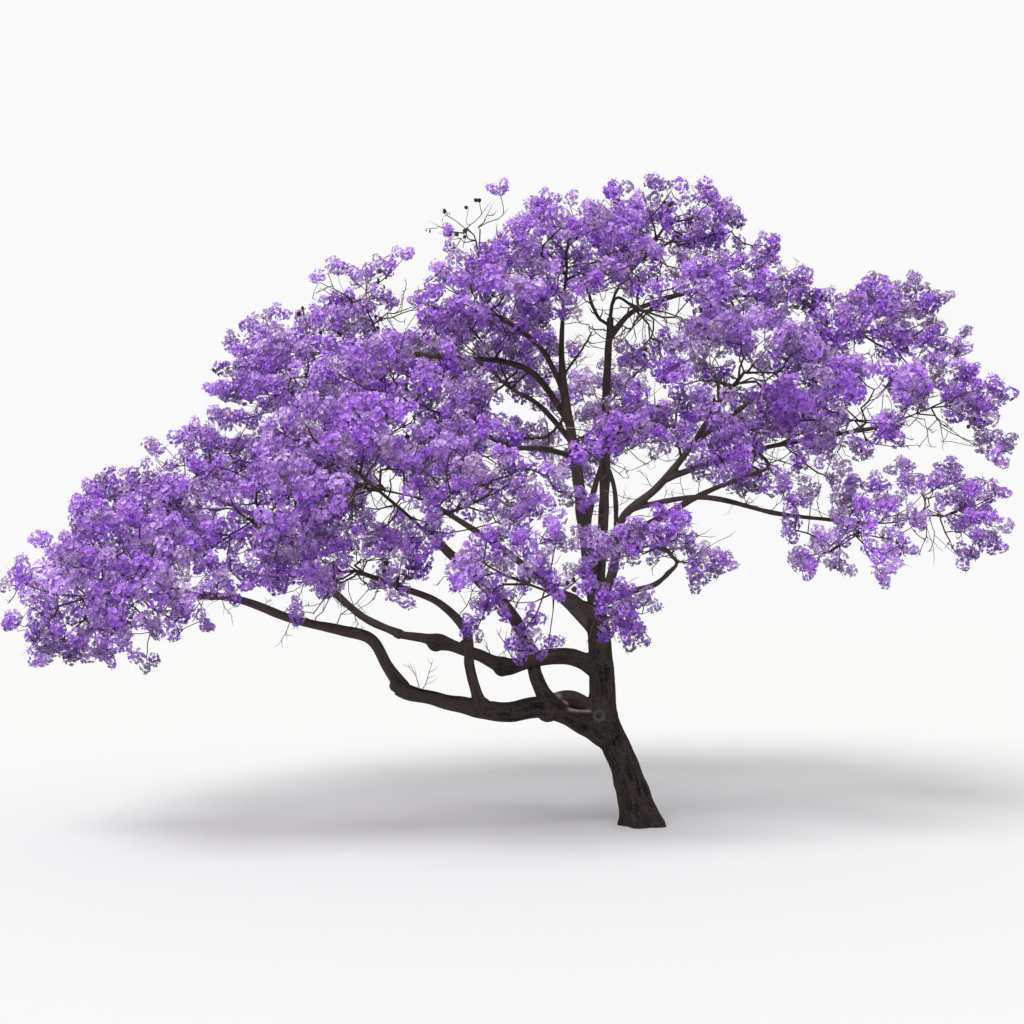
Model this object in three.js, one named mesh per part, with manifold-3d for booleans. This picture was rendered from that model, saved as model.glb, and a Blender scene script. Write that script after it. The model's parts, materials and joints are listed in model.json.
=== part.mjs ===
// A jacaranda tree in full blossom, leaning, with a wide crown that hangs low on one side.
// Millimetres, +Z up. The origin is the middle of the flat cut under the trunk, at ground level.
// The tree is drawn from its front: +X is to the right, +Y runs away from the viewer.
import * as THREE from 'three';
import { mergeVertices } from 'three/addons/utils/BufferGeometryUtils.js';
import Module from 'manifold-3d';

const wasm = await Module();
wasm.setup();

// Clearance between two pieces that grow on each other, and how near two corners count as one.
const SEAM = 0.3;
const WELD = 0.001;

// Trunk: the girth tapers from the root flare to the fork, and the stem leans to the left.
const TRUNK_FOOT_RADIUS = 228;
const TRUNK_FORK_RADIUS = 140;
const FLARE_SWELL = 0.42;
const FLARE_HEIGHT = 240;
const FLARE_LOBES = 5;
const FLARE_LOBE_DEPTH = 0.16;
const TRUNK_SIDES = 14;
const TRUNK_STATIONS = 13;
const BELOW_GROUND = 200;
const UNDERGROUND = [4000, 4000, 2000];
const TRUNK_WAY = [
  [60, 0, -BELOW_GROUND],
  [0, 0, 0],
  [-190, 0, 680],
  [-390, 0, 1160],
  [-510, 0, 1500],
  [-545, 0, 1900],
  [-565, 0, 2450],
  [-620, 0, 3050],
];

// Limbs: a collar swells each root, knots swell the old boughs, and a thin limb has fewer sides.
const COLLAR_SWELL = 0.3;
const TAPER_POWER = 0.8;
const STATION_SPACING = 500;
const FEWEST_STATIONS = 4;
const THICK_LIMB = 90;
const THICK_SIDES = 8;
const THIN_SIDES = 6;
const KNOT_REACH = 130;

// Boughs in growing order: the parent, the share of the parent's length at the root, the radius at
// the root and at the tip, the places that the limb passes on its way to its tip, which is the
// last, and its knots, each a share of the length with the swelling there.
const BOUGHS = {
  low_bough: { from: 'trunk', at: 0.46, girth: [178, 72], knots: [[0.94, 0.25]], way: [
    [-900, -130, 1480], [-1340, -300, 1640], [-1880, -470, 1590], [-2560, -600, 1710],
    [-3340, -710, 1910]] },
  low_bough_end: { from: 'low_bough', at: 0.96, girth: [80, 34], way: [
    [-3440, -780, 2200], [-3660, -900, 2580], [-4050, -1000, 2700], [-4620, -1120, 2830],
    [-5400, -1400, 3120], [-6500, -1700, 3150]] },
  long_bough: { from: 'trunk', at: 0.725, girth: [118, 56], knots: [[0.46, 0.4], [0.78, 0.45]], way: [
    [-1000, 10, 2310], [-1450, 20, 2280], [-1870, 50, 2170], [-2300, 100, 2340], [-2850, 170, 2520],
    [-3450, 300, 2620]] },
  long_bough_end: { from: 'long_bough', at: 0.97, girth: [60, 42], way: [
    [-3950, 480, 2870], [-4700, 620, 3560], [-5400, 850, 4250]] },
  left_edge_bough: { from: 'long_bough_end', at: 1, girth: [40, 30], way: [
    [-6000, 950, 4520], [-6550, 950, 4700]] },
  left_front_bough: { from: 'long_bough_end', at: 0.55, girth: [44, 32], way: [
    [-4700, -300, 3750], [-4750, -1150, 3980]] },
  inner_riser: { from: 'low_bough', at: 0.3, girth: [100, 48], way: [
    [-1440, -60, 1990], [-1530, 420, 2400], [-1800, 200, 2900], [-2350, -900, 3450],
    [-2850, -1900, 3950]] },
  fork_arch: { from: 'trunk', at: 0.51, girth: [84, 72], way: [
    [-850, -60, 1730], [-1060, -90, 1770], [-1340, -140, 1700]] },
  outer_riser: { from: 'low_bough', at: 0.62, girth: [72, 40], way: [
    [-2360, -560, 2180], [-2400, -600, 2640], [-2750, -900, 3050], [-3300, -1150, 3280]] },
  leader: { from: 'trunk', at: 1, girth: [110, 26], way: [
    [-770, 0, 4070], [-930, 0, 5300], [-1040, 0, 5950], [-1090, 0, 6600], [-1070, -60, 7150]] },
  right_leader: { from: 'trunk', at: 0.97, girth: [84, 50], way: [
    [-520, 330, 3700], [-440, 600, 4850], [-400, 700, 6250], [-340, 720, 7250]] },
  right_limb: { from: 'trunk', at: 0.95, girth: [74, 34], way: [
    [-390, -230, 3520], [-280, -450, 4200], [180, -650, 4620], [650, -780, 5200], [900, -1050, 5620]] },
  low_right_limb: { from: 'trunk', at: 0.985, girth: [46, 30], way: [
    [-150, -420, 3210], [100, -950, 3300], [260, -1700, 3500]] },
  front_bough: { from: 'trunk', at: 0.93, girth: [66, 40], way: [
    [-900, -420, 3080], [-1120, -1100, 3180], [-1250, -1900, 3180]] },
  front_limb: { from: 'right_limb', at: 0.3, girth: [40, 28], way: [
    [-450, -1300, 4500], [-620, -2100, 4800]] },
  right_low_limb: { from: 'right_limb', at: 0.48, girth: [40, 28], way: [
    [760, -700, 4480], [1840, -600, 4260], [3000, -450, 4150]] },
  far_right_limb: { from: 'right_limb', at: 0.66, girth: [44, 30], way: [
    [1280, -780, 5060], [2270, -650, 5280], [3200, -500, 5450]] },
  right_crest_limb: { from: 'right_limb', at: 0.84, girth: [38, 26], way: [
    [1600, -300, 5900], [2300, 200, 6400], [2850, 450, 6850]] },
  upper_right_limb: { from: 'right_leader', at: 0.93, girth: [46, 34], way: [
    [-40, 620, 7300], [450, 520, 7480], [900, 420, 7600]] },
  left_limb: { from: 'leader', at: 0.62, girth: [48, 32], way: [
    [-1480, 100, 6300], [-1930, 200, 6500], [-2700, 350, 6580], [-3600, 650, 6750]] },
  upper_left_limb: { from: 'leader', at: 0.72, girth: [42, 28], way: [
    [-1350, -60, 6600], [-1600, -150, 6820], [-1950, -200, 7050]] },
  left_low_limb: { from: 'leader', at: 0.5, girth: [44, 30], way: [
    [-1330, -300, 5180], [-1800, -600, 5180], [-2350, -950, 5400]] },
  back_left_bough: { from: 'trunk', at: 0.86, girth: [72, 38], way: [
    [-1000, 600, 3050], [-1900, 1700, 3850], [-3000, 2700, 4600]] },
  back_bough: { from: 'leader', at: 0.12, girth: [68, 38], way: [
    [-700, 900, 4000], [-500, 2200, 4800], [-300, 3200, 5350]] },
  back_right_bough: { from: 'right_leader', at: 0.22, girth: [58, 36], way: [
    [200, 1100, 4200], [1300, 2000, 4800], [2200, 2500, 5150]] },
  back_top_limb: { from: 'leader', at: 0.55, girth: [44, 30], way: [
    [-1400, 700, 5950], [-1800, 1400, 6300]] },
};

// Masses of blossom: the bough that carries each, its middle, and its half width, depth and height.
const MASSES = {
  far_left_tip: { on: 'low_bough_end', middle: [-7550, -1250, 3150], half: [1100, 1150, 1000] },
  far_left_front: { on: 'low_bough_end', middle: [-6200, -2400, 3450], half: [1200, 1100, 950] },
  far_left_back: { on: 'left_edge_bough', middle: [-7000, 550, 4200], half: [1200, 1250, 850] },
  left_shoulder: { on: 'left_edge_bough', middle: [-6200, 1500, 5250], half: [1200, 1250, 750] },
  left_front: { on: 'left_front_bough', middle: [-4950, -2100, 4050], half: [1300, 1200, 1000] },
  mid_left_low: { on: 'outer_riser', middle: [-3950, -1500, 3500], half: [1150, 1100, 700] },
  mid_left_front: { on: 'inner_riser', middle: [-3700, -2950, 4650], half: [1250, 1150, 950] },
  front_left_low: { on: 'inner_riser', middle: [-2150, -2800, 4300], half: [1050, 1050, 800] },
  upper_left: { on: 'left_limb', middle: [-4900, 450, 6150], half: [1300, 1250, 850] },
  upper_left_back: { on: 'left_limb', middle: [-5050, 2100, 6950], half: [1300, 1200, 850] },
  upper_left_peak: { on: 'left_limb', middle: [-3950, 900, 7350], half: [1150, 1150, 850] },
  centre_left: { on: 'left_low_limb', middle: [-3250, -1500, 5700], half: [1250, 1200, 900] },
  top_left: { on: 'upper_left_limb', middle: [-2350, -700, 7000], half: [1150, 1150, 850] },
  top_left_sprig: { on: 'upper_left_limb', middle: [-2350, 600, 8450], half: [850, 800, 750] },
  top: { on: 'leader', middle: [-1000, -200, 7900], half: [1300, 1250, 950] },
  top_right: { on: 'right_leader', middle: [450, 800, 8550], half: [1200, 1250, 850] },
  right_top: { on: 'right_leader', middle: [50, -900, 7000], half: [1200, 1150, 900] },
  right_shoulder: { on: 'upper_right_limb', middle: [1650, 300, 7450], half: [1050, 1150, 850] },
  right_front: { on: 'right_limb', middle: [1100, -2100, 5900], half: [1150, 1150, 850] },
  right_upper: { on: 'right_crest_limb', middle: [3500, 600, 7000], half: [1350, 1200, 800] },
  right_mid: { on: 'far_right_limb', middle: [2580, -1520, 5430], half: [1200, 1150, 850] },
  far_right: { on: 'far_right_limb', middle: [4200, -200, 5800], half: [1150, 1250, 850] },
  far_right_low: { on: 'right_low_limb', middle: [4250, 250, 4300], half: [1000, 1050, 850] },
  right_low: { on: 'right_low_limb', middle: [2700, -1300, 3950], half: [1150, 1100, 700] },
  centre_front: { on: 'front_limb', middle: [-450, -2900, 5250], half: [900, 900, 600] },
  front_low: { on: 'front_bough', middle: [-1800, -2900, 3350], half: [1050, 950, 750] },
  front_drop: { on: 'front_bough', middle: [-550, -1750, 2980], half: [700, 700, 600] },
  front_right_low: { on: 'low_right_limb', middle: [50, -2600, 3720], half: [1050, 850, 550] },
  back_left: { on: 'back_left_bough', middle: [-4400, 3000, 5000], half: [1450, 1300, 1000] },
  back_mid_left: { on: 'back_left_bough', middle: [-2500, 3700, 5500], half: [1300, 1250, 1000] },
  back_mid: { on: 'back_bough', middle: [-200, 4100, 6000], half: [1350, 1300, 1000] },
  back_right: { on: 'back_right_bough', middle: [2300, 3500, 5700], half: [1400, 1300, 1000] },
  back_top: { on: 'back_top_limb', middle: [-2300, 2100, 6900], half: [1350, 1250, 950] },
};

// The growing rule of a mass. Reaches, lengths and widths are shares of the mass's half sizes, and
// each twig leaves the hub through one of its faces, named by the signs of its axes: all plus is
// the face towards the stem, and more minus signs point further onward.
const HUB_BACK = 0.15;
const HUB_RADIUS = 105;
const STEM_SIDES = 3;
const STEM_STATIONS = 3;
const STEM_SWING = 0.42;
const STEM_SHARES = { 1: [0, 0.8], 2: [0.5, 0.44], 3: [0.52, 0.38] };
const TWIG_SIDES = 3;
const TWIG_ROOT_RADIUS = 27;
const TWIG_REACH = 0.52;
const TWIG_FACES = [
  [-1, -1, -1],
  [1, -1, -1], [-1, 1, -1], [-1, -1, 1],
  [1, 1, -1], [1, -1, 1], [-1, 1, 1],
];
const SPRAYS_BY_FORWARDNESS = [1, 2, 3];
const SPRAY_ROOTS = [0.8, 0.58, 0.4];
const SPRAY_LEANS = [0.3, 0.6, 1, 1.5, 2.2];
const SPRAY_LENGTH = 0.9;
const SPRAY_SLIMNESS = 0.7;
const SPRAY_BELLY = 0.5;
const SPRAY_CLEARANCE = 0.5;
const SPRAY_FREE_PART = 0.4;
const SHORTER_TRIES = [1, 0.88, 0.76, 0.64, 0.52];
const SPACE_MARGIN = 0.045;
const LIMB_MARGIN = 45;
const LIMB_SAMPLE_SPACING = 90;

const BARK = { color: 0x3a302a, roughness: 0.92, metalness: 0 };
const BLOSSOM = { color: 0x8a68c8, roughness: 0.7, metalness: 0 };

const UP = new THREE.Vector3(0, 1, 0);
const HUB_FACE = new THREE.Vector3(1, 1, 1).normalize();
const vector = ([x, y, z]) => new THREE.Vector3(x, y, z);

// A repeatable source of numbers from 0 to 1.
function seededNumbers(seed) {
  let state = seed >>> 0;
  return () => {
    state = (state + 0x6d2b79f5) >>> 0;
    let mixed = Math.imul(state ^ (state >>> 15), state | 1);
    mixed ^= mixed + Math.imul(mixed ^ (mixed >>> 7), mixed | 61);
    return ((mixed ^ (mixed >>> 14)) >>> 0) / 4294967296;
  };
}

// The closed solid of a geometry, from its positions alone.
function solidOf(geometry) {
  const bare = geometry.clone();
  bare.deleteAttribute('normal');
  bare.deleteAttribute('uv');
  const merged = mergeVertices(bare, WELD);
  const corners = merged.index.array;
  const kept = [];
  for (let i = 0; i < corners.length; i += 3) {
    const [a, b, c] = [corners[i], corners[i + 1], corners[i + 2]];
    if (a !== b && b !== c && c !== a) kept.push(a, b, c);
  }
  return new wasm.Manifold(new wasm.Mesh({
    numProp: 3,
    vertProperties: new Float32Array(merged.attributes.position.array),
    triVerts: new Uint32Array(kept),
  }));
}

// The geometry of a solid, for a mesh of its own.
function geometryOf(solid) {
  const mesh = solid.getMesh();
  const geometry = new THREE.BufferGeometry();
  geometry.setAttribute('position', new THREE.BufferAttribute(new Float32Array(mesh.vertProperties), 3));
  geometry.setIndex(new THREE.BufferAttribute(new Uint32Array(mesh.triVerts), 1));
  geometry.computeVertexNormals();
  return geometry;
}

// The largest body of a joined or cut solid: a loose scrap is dropped.
function largestBody(solid) {
  return solid.decompose().reduce((best, body) => (body.volume() > best.volume() ? body : best));
}

// A turned profile of unit height, bent along a curve: a tapering limb with flat ends.
// radiusAt gives the radius at a share of the length and an angle round the limb. A grown limb is
// larger all round and at its ends by the given amount.
function bentLimb(curve, radiusAt, sides, stations, grown = 0) {
  const profile = [new THREE.Vector2(0, 0)];
  for (let i = 0; i <= stations; i++) profile.push(new THREE.Vector2(1, i / stations));
  profile.push(new THREE.Vector2(0, 1));
  const geometry = new THREE.LatheGeometry(profile, sides);
  const frames = curve.computeFrenetFrames(stations, false);
  const position = geometry.attributes.position;
  for (let i = 0; i < position.count; i++) {
    const share = position.getY(i);
    const station = Math.round(share * stations);
    const across = position.getX(i);
    const through = position.getZ(i);
    const onAxis = Math.hypot(across, through) < 0.5;
    const size = onAxis ? 0 : radiusAt(share, Math.atan2(through, across)) + grown;
    const beyond = station === 0 ? -grown : station === stations ? grown : 0;
    const place = curve.getPointAt(share)
      .addScaledVector(frames.normals[station], across * size)
      .addScaledVector(frames.binormals[station], -through * size)
      .addScaledVector(frames.tangents[station], beyond);
    position.setXYZ(i, ...place.toArray());
  }
  return solidOf(geometry);
}

// The trunk's radius: a taper to the fork, with a lobed flare at the foot.
function trunkRadius(length) {
  return (share, angle) => {
    const above = Math.max(0, share * length - BELOW_GROUND);
    const taper = THREE.MathUtils.lerp(TRUNK_FOOT_RADIUS, TRUNK_FORK_RADIUS, above / length);
    const lobes = FLARE_SWELL + FLARE_LOBE_DEPTH * Math.cos(FLARE_LOBES * angle);
    return taper * (1 + lobes * Math.exp(-above / FLARE_HEIGHT));
  };
}

// A bough's radius: a taper, with a collar at the root that hides in its parent, and its knots.
function boughRadius(length, [root, tip], buried, knots = []) {
  return (share) => {
    const taper = tip + (root - tip) * (1 - share) ** TAPER_POWER;
    const collar = buried ? COLLAR_SWELL * Math.exp(-Math.max(0, share * length - buried) / root) : 0;
    const swelling = knots.reduce((sum, [at, swell]) => (
      sum + swell * Math.exp(-(((share - at) * length / KNOT_REACH) ** 2))), collar);
    return taper * (1 + swelling);
  };
}

// A limb through its places: its curve, its radius and how finely it is made.
function plannedLimb(places, girthOf, sides, spacing) {
  const curve = new THREE.CatmullRomCurve3(places, false, 'centripetal');
  const length = curve.getLength();
  const stations = Math.max(FEWEST_STATIONS, Math.round(length / spacing));
  return { curve, length, radiusAt: girthOf(length), sides, stations };
}

// Places along a limb with the radius there, for keeping twigs clear of it.
function limbSamples({ curve, length, radiusAt }) {
  const count = Math.ceil(length / LIMB_SAMPLE_SPACING);
  return Array.from({ length: count + 1 }, (_, i) => (
    { place: curve.getPointAt(i / count), radius: radiusAt(i / count, 0) }));
}

// Every limb, the trunk first. Each is cut clear of the limbs made before it.
function growLimbs() {
  const limbs = {};
  const trunkSpacing = TRUNK_WAY.at(-1)[2] / TRUNK_STATIONS;
  limbs.trunk = plannedLimb(TRUNK_WAY.map(vector), trunkRadius, TRUNK_SIDES, trunkSpacing);
  for (const [name, { from, at, girth, way, knots }] of Object.entries(BOUGHS)) {
    const parent = limbs[from];
    const places = [parent.curve.getPointAt(at), ...way.map(vector)];
    const buried = at < 1 ? parent.radiusAt(at, 0) : 0;
    const sides = girth[0] >= THICK_LIMB ? THICK_SIDES : THIN_SIDES;
    const girthOf = (length) => boughRadius(length, girth, buried, knots);
    limbs[name] = plannedLimb(places, girthOf, sides, STATION_SPACING);
  }
  const underground = solidOf(new THREE.BoxGeometry(...UNDERGROUND).translate(0, 0, -UNDERGROUND[2] / 2));
  const made = [];
  for (const limb of Object.values(limbs)) {
    const { curve, radiusAt, sides, stations } = limb;
    const cutters = limb === limbs.trunk ? [underground] : made.map((earlier) => earlier.grown);
    limb.grown = bentLimb(curve, radiusAt, sides, stations, SEAM);
    limb.solid = largestBody(cutters.reduce(
      (solid, cutter) => solid.subtract(cutter), bentLimb(curve, radiusAt, sides, stations)));
    limb.samples = limbSamples(limb);
    made.push(limb);
  }
  return limbs;
}

// A geometry turned from upright to lie along a way, with its foot at a place.
function stoodAlong(geometry, foot, along) {
  geometry.applyQuaternion(new THREE.Quaternion().setFromUnitVectors(UP, along));
  return geometry.translate(...foot.toArray());
}

// A pointed twig with three sides between two places.
function twigSolid(from, to) {
  const along = to.clone().sub(from);
  const geometry = new THREE.ConeGeometry(TWIG_ROOT_RADIUS, along.length(), TWIG_SIDES);
  return solidOf(stoodAlong(geometry.translate(0, along.length() / 2, 0), from, along.normalize()));
}

// The way that each side of a twig faces.
function twigSides(along) {
  const turn = new THREE.Quaternion().setFromUnitVectors(UP, along);
  return Array.from({ length: TWIG_SIDES }, (_, k) => {
    const angle = (k + 0.5) * Math.PI * 2 / TWIG_SIDES;
    return new THREE.Vector3(Math.sin(angle), 0, Math.cos(angle)).applyQuaternion(turn);
  });
}

// A spray of blossom: an eight-faced spindle from its root to its tip.
function sprayGeometry(root, tip) {
  const along = tip.clone().sub(root);
  const length = along.length();
  const geometry = new THREE.OctahedronGeometry(1, 0);
  const position = geometry.attributes.position;
  for (let i = 0; i < position.count; i++) {
    const rise = position.getY(i) > 0.5 ? 1 : position.getY(i) < -0.5 ? 0 : SPRAY_BELLY;
    const half = length * SPRAY_SLIMNESS / 2;
    position.setXYZ(i, position.getX(i) * half, rise * length, position.getZ(i) * half);
  }
  return stoodAlong(geometry, root, along.normalize());
}

// How far out a place is in a mass, as a share of the mass's half sizes.
function outwardness(place, mass) {
  return place.clone().sub(mass.middle).divide(mass.half).length();
}

// Whether a place belongs to a mass's own space and to no neighbour's.
function inOwnSpace(place, mass, masses) {
  const own = outwardness(place, mass);
  const others = masses.filter((other) => other !== mass);
  return own <= 1 && others.every((other) => outwardness(place, other) > own + SPACE_MARGIN);
}

// Whether a line of the given half width stays clear of every limb.
function clearOfLimbs(from, to, halfWidth, limbs) {
  const line = new THREE.Line3(from, to);
  const nearest = new THREE.Vector3();
  return Object.values(limbs).every((limb) => limb.samples.every(({ place, radius }) => {
    line.closestPointToPoint(place, true, nearest);
    return nearest.distanceTo(place) > radius + halfWidth + LIMB_MARGIN;
  }));
}

// Whether a spray's corners lie in its mass's own space and its body clear of every limb.
function sprayFits(geometry, root, tip, mass, masses, limbs) {
  const position = geometry.attributes.position;
  for (let i = 0; i < position.count; i++) {
    const corner = new THREE.Vector3().fromBufferAttribute(position, i);
    if (corner.distanceTo(root) > 1 && !inOwnSpace(corner, mass, masses)) return false;
  }
  return clearOfLimbs(root, tip, root.distanceTo(tip) * SPRAY_SLIMNESS / 2, limbs);
}

// The spray with most room that grows from a twig's place towards one side: full length first,
// then shorter, and none where no length fits.
function roomiestSpray(root, outward, aside, mass, masses, limbs) {
  for (const share of SHORTER_TRIES) {
    const length = mass.spraySize * share;
    const clearance = length * SPRAY_SLIMNESS * SPRAY_CLEARANCE;
    let best = null;
    for (const lean of SPRAY_LEANS) {
      const way = outward.clone().addScaledVector(aside, lean).normalize();
      const tip = root.clone().addScaledVector(way, length);
      const axis = new THREE.Line3(root.clone().lerp(tip, SPRAY_FREE_PART), tip);
      const room = Math.min(...mass.grown.map((other) => Math.sqrt(other.distanceSqToLine3(axis))), length);
      if (room < clearance || (best && room <= best.room)) continue;
      const geometry = sprayGeometry(root, tip);
      if (sprayFits(geometry, root, tip, mass, masses, limbs)) best = { room, axis, geometry };
    }
    if (best) return best;
  }
  return null;
}

// The stem of a mass, from its bough's end to its hub.
function stemSolid({ stemStart, stemAlong, stemRadius, hub }) {
  const onward = stemStart.clone().addScaledVector(stemAlong, stemStart.distanceTo(hub) * STEM_SWING);
  const curve = new THREE.CubicBezierCurve3(stemStart, onward, hub.clone().lerp(stemStart, STEM_SWING), hub);
  const radiusAt = (share) => THREE.MathUtils.lerp(stemRadius, TWIG_ROOT_RADIUS, share);
  return bentLimb(curve, radiusAt, STEM_SIDES, STEM_STATIONS);
}

// One mass: a stem from its bough's end to an eight-faced hub, a twig from each face of the hub,
// and sprays on the sides of the twigs, more of them on the twigs that point onward.
function growMass(mass, masses, limbs) {
  const numbers = seededNumbers(mass.seed);
  const back = mass.stemStart.clone().sub(mass.hub).normalize();
  const turn = new THREE.Quaternion().setFromUnitVectors(HUB_FACE, back)
    .premultiply(new THREE.Quaternion().setFromAxisAngle(back, numbers() * Math.PI * 2));
  const hub = new THREE.OctahedronGeometry(HUB_RADIUS, 0).applyQuaternion(turn);
  let solid = stemSolid(mass).add(solidOf(hub.translate(...mass.hub.toArray())));
  for (const signs of TWIG_FACES) {
    const outward = vector(signs).normalize().applyQuaternion(turn);
    const end = mass.hub.clone().addScaledVector(outward.clone().multiply(mass.half), TWIG_REACH);
    outward.copy(end).sub(mass.hub).normalize();
    if (!inOwnSpace(end, mass, masses) || !clearOfLimbs(mass.hub, end, TWIG_ROOT_RADIUS, limbs)) continue;
    const forwardness = signs.filter((sign) => sign < 0).length;
    const sprays = twigSides(outward).slice(0, SPRAYS_BY_FORWARDNESS[forwardness - 1]).map((aside, k) => {
      const root = mass.hub.clone().lerp(end, SPRAY_ROOTS[k]);
      const spray = roomiestSpray(root, outward, aside, mass, masses, limbs);
      if (spray) mass.grown.push(spray.axis);
      return spray;
    }).filter((spray) => spray);
    if (!sprays.length) continue;
    solid = sprays.reduce((joined, spray) => joined.add(solidOf(spray.geometry)), solid);
    solid = solid.add(twigSolid(mass.hub, end));
  }
  return largestBody(solid);
}

// The start of each mass's stem, 0.3 mm clear of its bough's end. Stems that share an end stand
// side by side round its middle.
function placeStems(limb, sharing) {
  const tip = limb.curve.getPointAt(1);
  const along = limb.curve.getTangentAt(1);
  const [offset, girth] = STEM_SHARES[sharing.length].map((share) => share * limb.radiusAt(1, 0));
  const side = sharing[0].middle.clone().sub(tip).projectOnPlane(along).normalize();
  const across = along.clone().cross(side);
  const angleOf = ({ middle }) => {
    const away = middle.clone().sub(tip);
    return Math.atan2(away.dot(across), away.dot(side));
  };
  const turned = [...sharing].sort((one, other) => angleOf(one) - angleOf(other));
  const first = angleOf(turned[0]);
  turned.forEach((mass, k) => {
    const aside = side.clone().applyAxisAngle(along, first + k * Math.PI * 2 / turned.length);
    mass.stemAlong = along;
    mass.stemRadius = girth;
    mass.stemStart = tip.clone().addScaledVector(aside, offset).addScaledVector(along, SEAM);
  });
}

// The masses, each with its stem and its hub placed.
function placeMasses(limbs) {
  const masses = Object.entries(MASSES).map(([name, { on, middle, half }], index) => ({
    name, on, middle: vector(middle), half: vector(half), seed: index + 1, grown: [],
  }));
  for (const bough of new Set(masses.map((mass) => mass.on))) {
    placeStems(limbs[bough], masses.filter((mass) => mass.on === bough));
  }
  for (const mass of masses) {
    const back = mass.stemStart.clone().sub(mass.middle).normalize();
    mass.hub = mass.middle.clone().addScaledVector(back.multiply(mass.half), HUB_BACK);
    mass.spraySize = SPRAY_LENGTH * (mass.half.x + mass.half.y + mass.half.z) / 3;
  }
  return masses;
}

// A named sub-part of the tree in its own material.
function subPart(name, solid, finish) {
  const mesh = new THREE.Mesh(geometryOf(solid), new THREE.MeshStandardMaterial(finish));
  mesh.name = name;
  return mesh;
}

const tree = new THREE.Group();
tree.name = 'jacaranda_tree';
const limbs = growLimbs();
const masses = placeMasses(limbs);
for (const [name, limb] of Object.entries(limbs)) tree.add(subPart(name, limb.solid, BARK));
for (const mass of masses) {
  tree.add(subPart('blossom_' + mass.name, growMass(mass, masses, limbs), BLOSSOM));
}

export default tree;
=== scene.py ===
"""A jacaranda tree in full blossom, dressed round its fixed frame.

Trunk and boughs wear one skin of furrowed bark. Each mass of blossom grows on from its bough: a
stem, a hub and twigs, finer twigs from those, panicles of flowers at their ends and old seed pods.
Metres, +Z up. The origin is the middle of the flat cut under the trunk, +X is to the right as seen
from the front, and +Y runs away from the viewer.
"""

import json
import logging
import math
from collections.abc import Sequence
from dataclasses import dataclass, field
from enum import Enum

import bmesh
import bpy
import numpy as np
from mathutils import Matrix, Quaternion, Vector
from mathutils.kdtree import KDTree

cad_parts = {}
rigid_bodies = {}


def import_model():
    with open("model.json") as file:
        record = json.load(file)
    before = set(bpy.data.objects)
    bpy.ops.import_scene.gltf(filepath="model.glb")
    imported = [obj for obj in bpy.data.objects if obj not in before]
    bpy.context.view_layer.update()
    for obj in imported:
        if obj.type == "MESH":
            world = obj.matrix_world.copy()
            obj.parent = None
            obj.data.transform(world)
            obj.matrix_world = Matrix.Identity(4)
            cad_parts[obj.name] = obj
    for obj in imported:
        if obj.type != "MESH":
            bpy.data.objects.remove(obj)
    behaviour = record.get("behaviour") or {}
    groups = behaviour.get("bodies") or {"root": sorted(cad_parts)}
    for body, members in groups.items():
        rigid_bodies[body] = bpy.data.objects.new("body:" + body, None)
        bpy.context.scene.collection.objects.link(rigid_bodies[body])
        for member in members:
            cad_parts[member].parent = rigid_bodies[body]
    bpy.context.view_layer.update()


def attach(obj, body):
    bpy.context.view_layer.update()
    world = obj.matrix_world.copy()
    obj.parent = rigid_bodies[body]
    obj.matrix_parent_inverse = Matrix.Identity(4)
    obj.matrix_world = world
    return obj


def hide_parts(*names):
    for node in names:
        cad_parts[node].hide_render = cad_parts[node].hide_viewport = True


LOG = logging.getLogger("jacaranda")
BODY = "root"
UP = np.array([0.0, 0.0, 1.0])
AHEAD = np.array([0.0, 1.0, 0.0])
GOLDEN_ANGLE = 2.39996
PETALS = 5
PANICLE_LENGTH = 0.25
TWIG_CROOK = 0.09
TWIG_SAG = 0.06
TWIG_KINK = 0.022
SIZES = (0.85, 1.12)
HASH_AXES = (73856093, 19349663, 83492791)
HASH_SEED = 26544357
HASH_MIX = 1274126177
Point = tuple[float, float, float]
Color = tuple[float, float, float]
Span = tuple[float, float]
Array = np.ndarray
Shape = tuple[Array, Array]
Numbers = np.random.Generator
Socket = bpy.types.NodeSocket
Piece = bpy.types.Object
Material = bpy.types.Material


class Region(Enum):
    """Parts of the crown, each joined into a piece of blossom and a piece of twigs."""

    LEFT_EDGE = "left_edge"
    LEFT_FRONT = "left_front"
    UPPER_LEFT = "upper_left"
    TOP = "top"
    RIGHT = "right"
    FRONT = "front"
    BACK = "back"


class Tint(Enum):
    """Plain colours of the flowers, from dark to light: their own spread of colour, and painted light and
    shade, lighter on top sides and darker on undersides.
    """

    SHADE = (0.075, 0.030, 0.105)
    DEEP = (0.180, 0.066, 0.350)
    VIOLET = (0.330, 0.138, 0.610)
    MAUVE = (0.470, 0.232, 0.710)
    LILAC = (0.600, 0.345, 0.860)
    PALE = (0.770, 0.535, 0.940)


class Freshness(Enum):
    """How far a panicle's flowers have gone grey, as a share of the way. Below none they are more vivid."""

    FRESH = -0.22
    USUAL = 0.08
    FADED = 0.42

    def color(self, tint: Tint) -> Color:
        """Gives a tint as it is at this freshness.

        Args:
            tint: The plain tint.

        Returns:
            Its colour.
        """
        red, green, blue = tint.value
        grey = 0.3 * red + 0.5 * green + 0.2 * blue
        return tuple(part + (grey * warmth - part) * self.value
                     for part, warmth in zip((red, green, blue), (1.06, 0.98, 0.96)))


class Tone(Enum):
    """How light a mass is: the middle step of its clumps on the scale of tints, from 0 for the darkest."""

    DARK = 2.4
    MIDDLE = 2.65
    LIGHT = 2.95
    BRIGHT = 3.15


class TwigTint(Enum):
    """Plain colours of twigs and shoots."""

    DARK = (0.050, 0.038, 0.032)
    BROWN = (0.110, 0.085, 0.068)
    PALE = (0.230, 0.195, 0.160)


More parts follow.
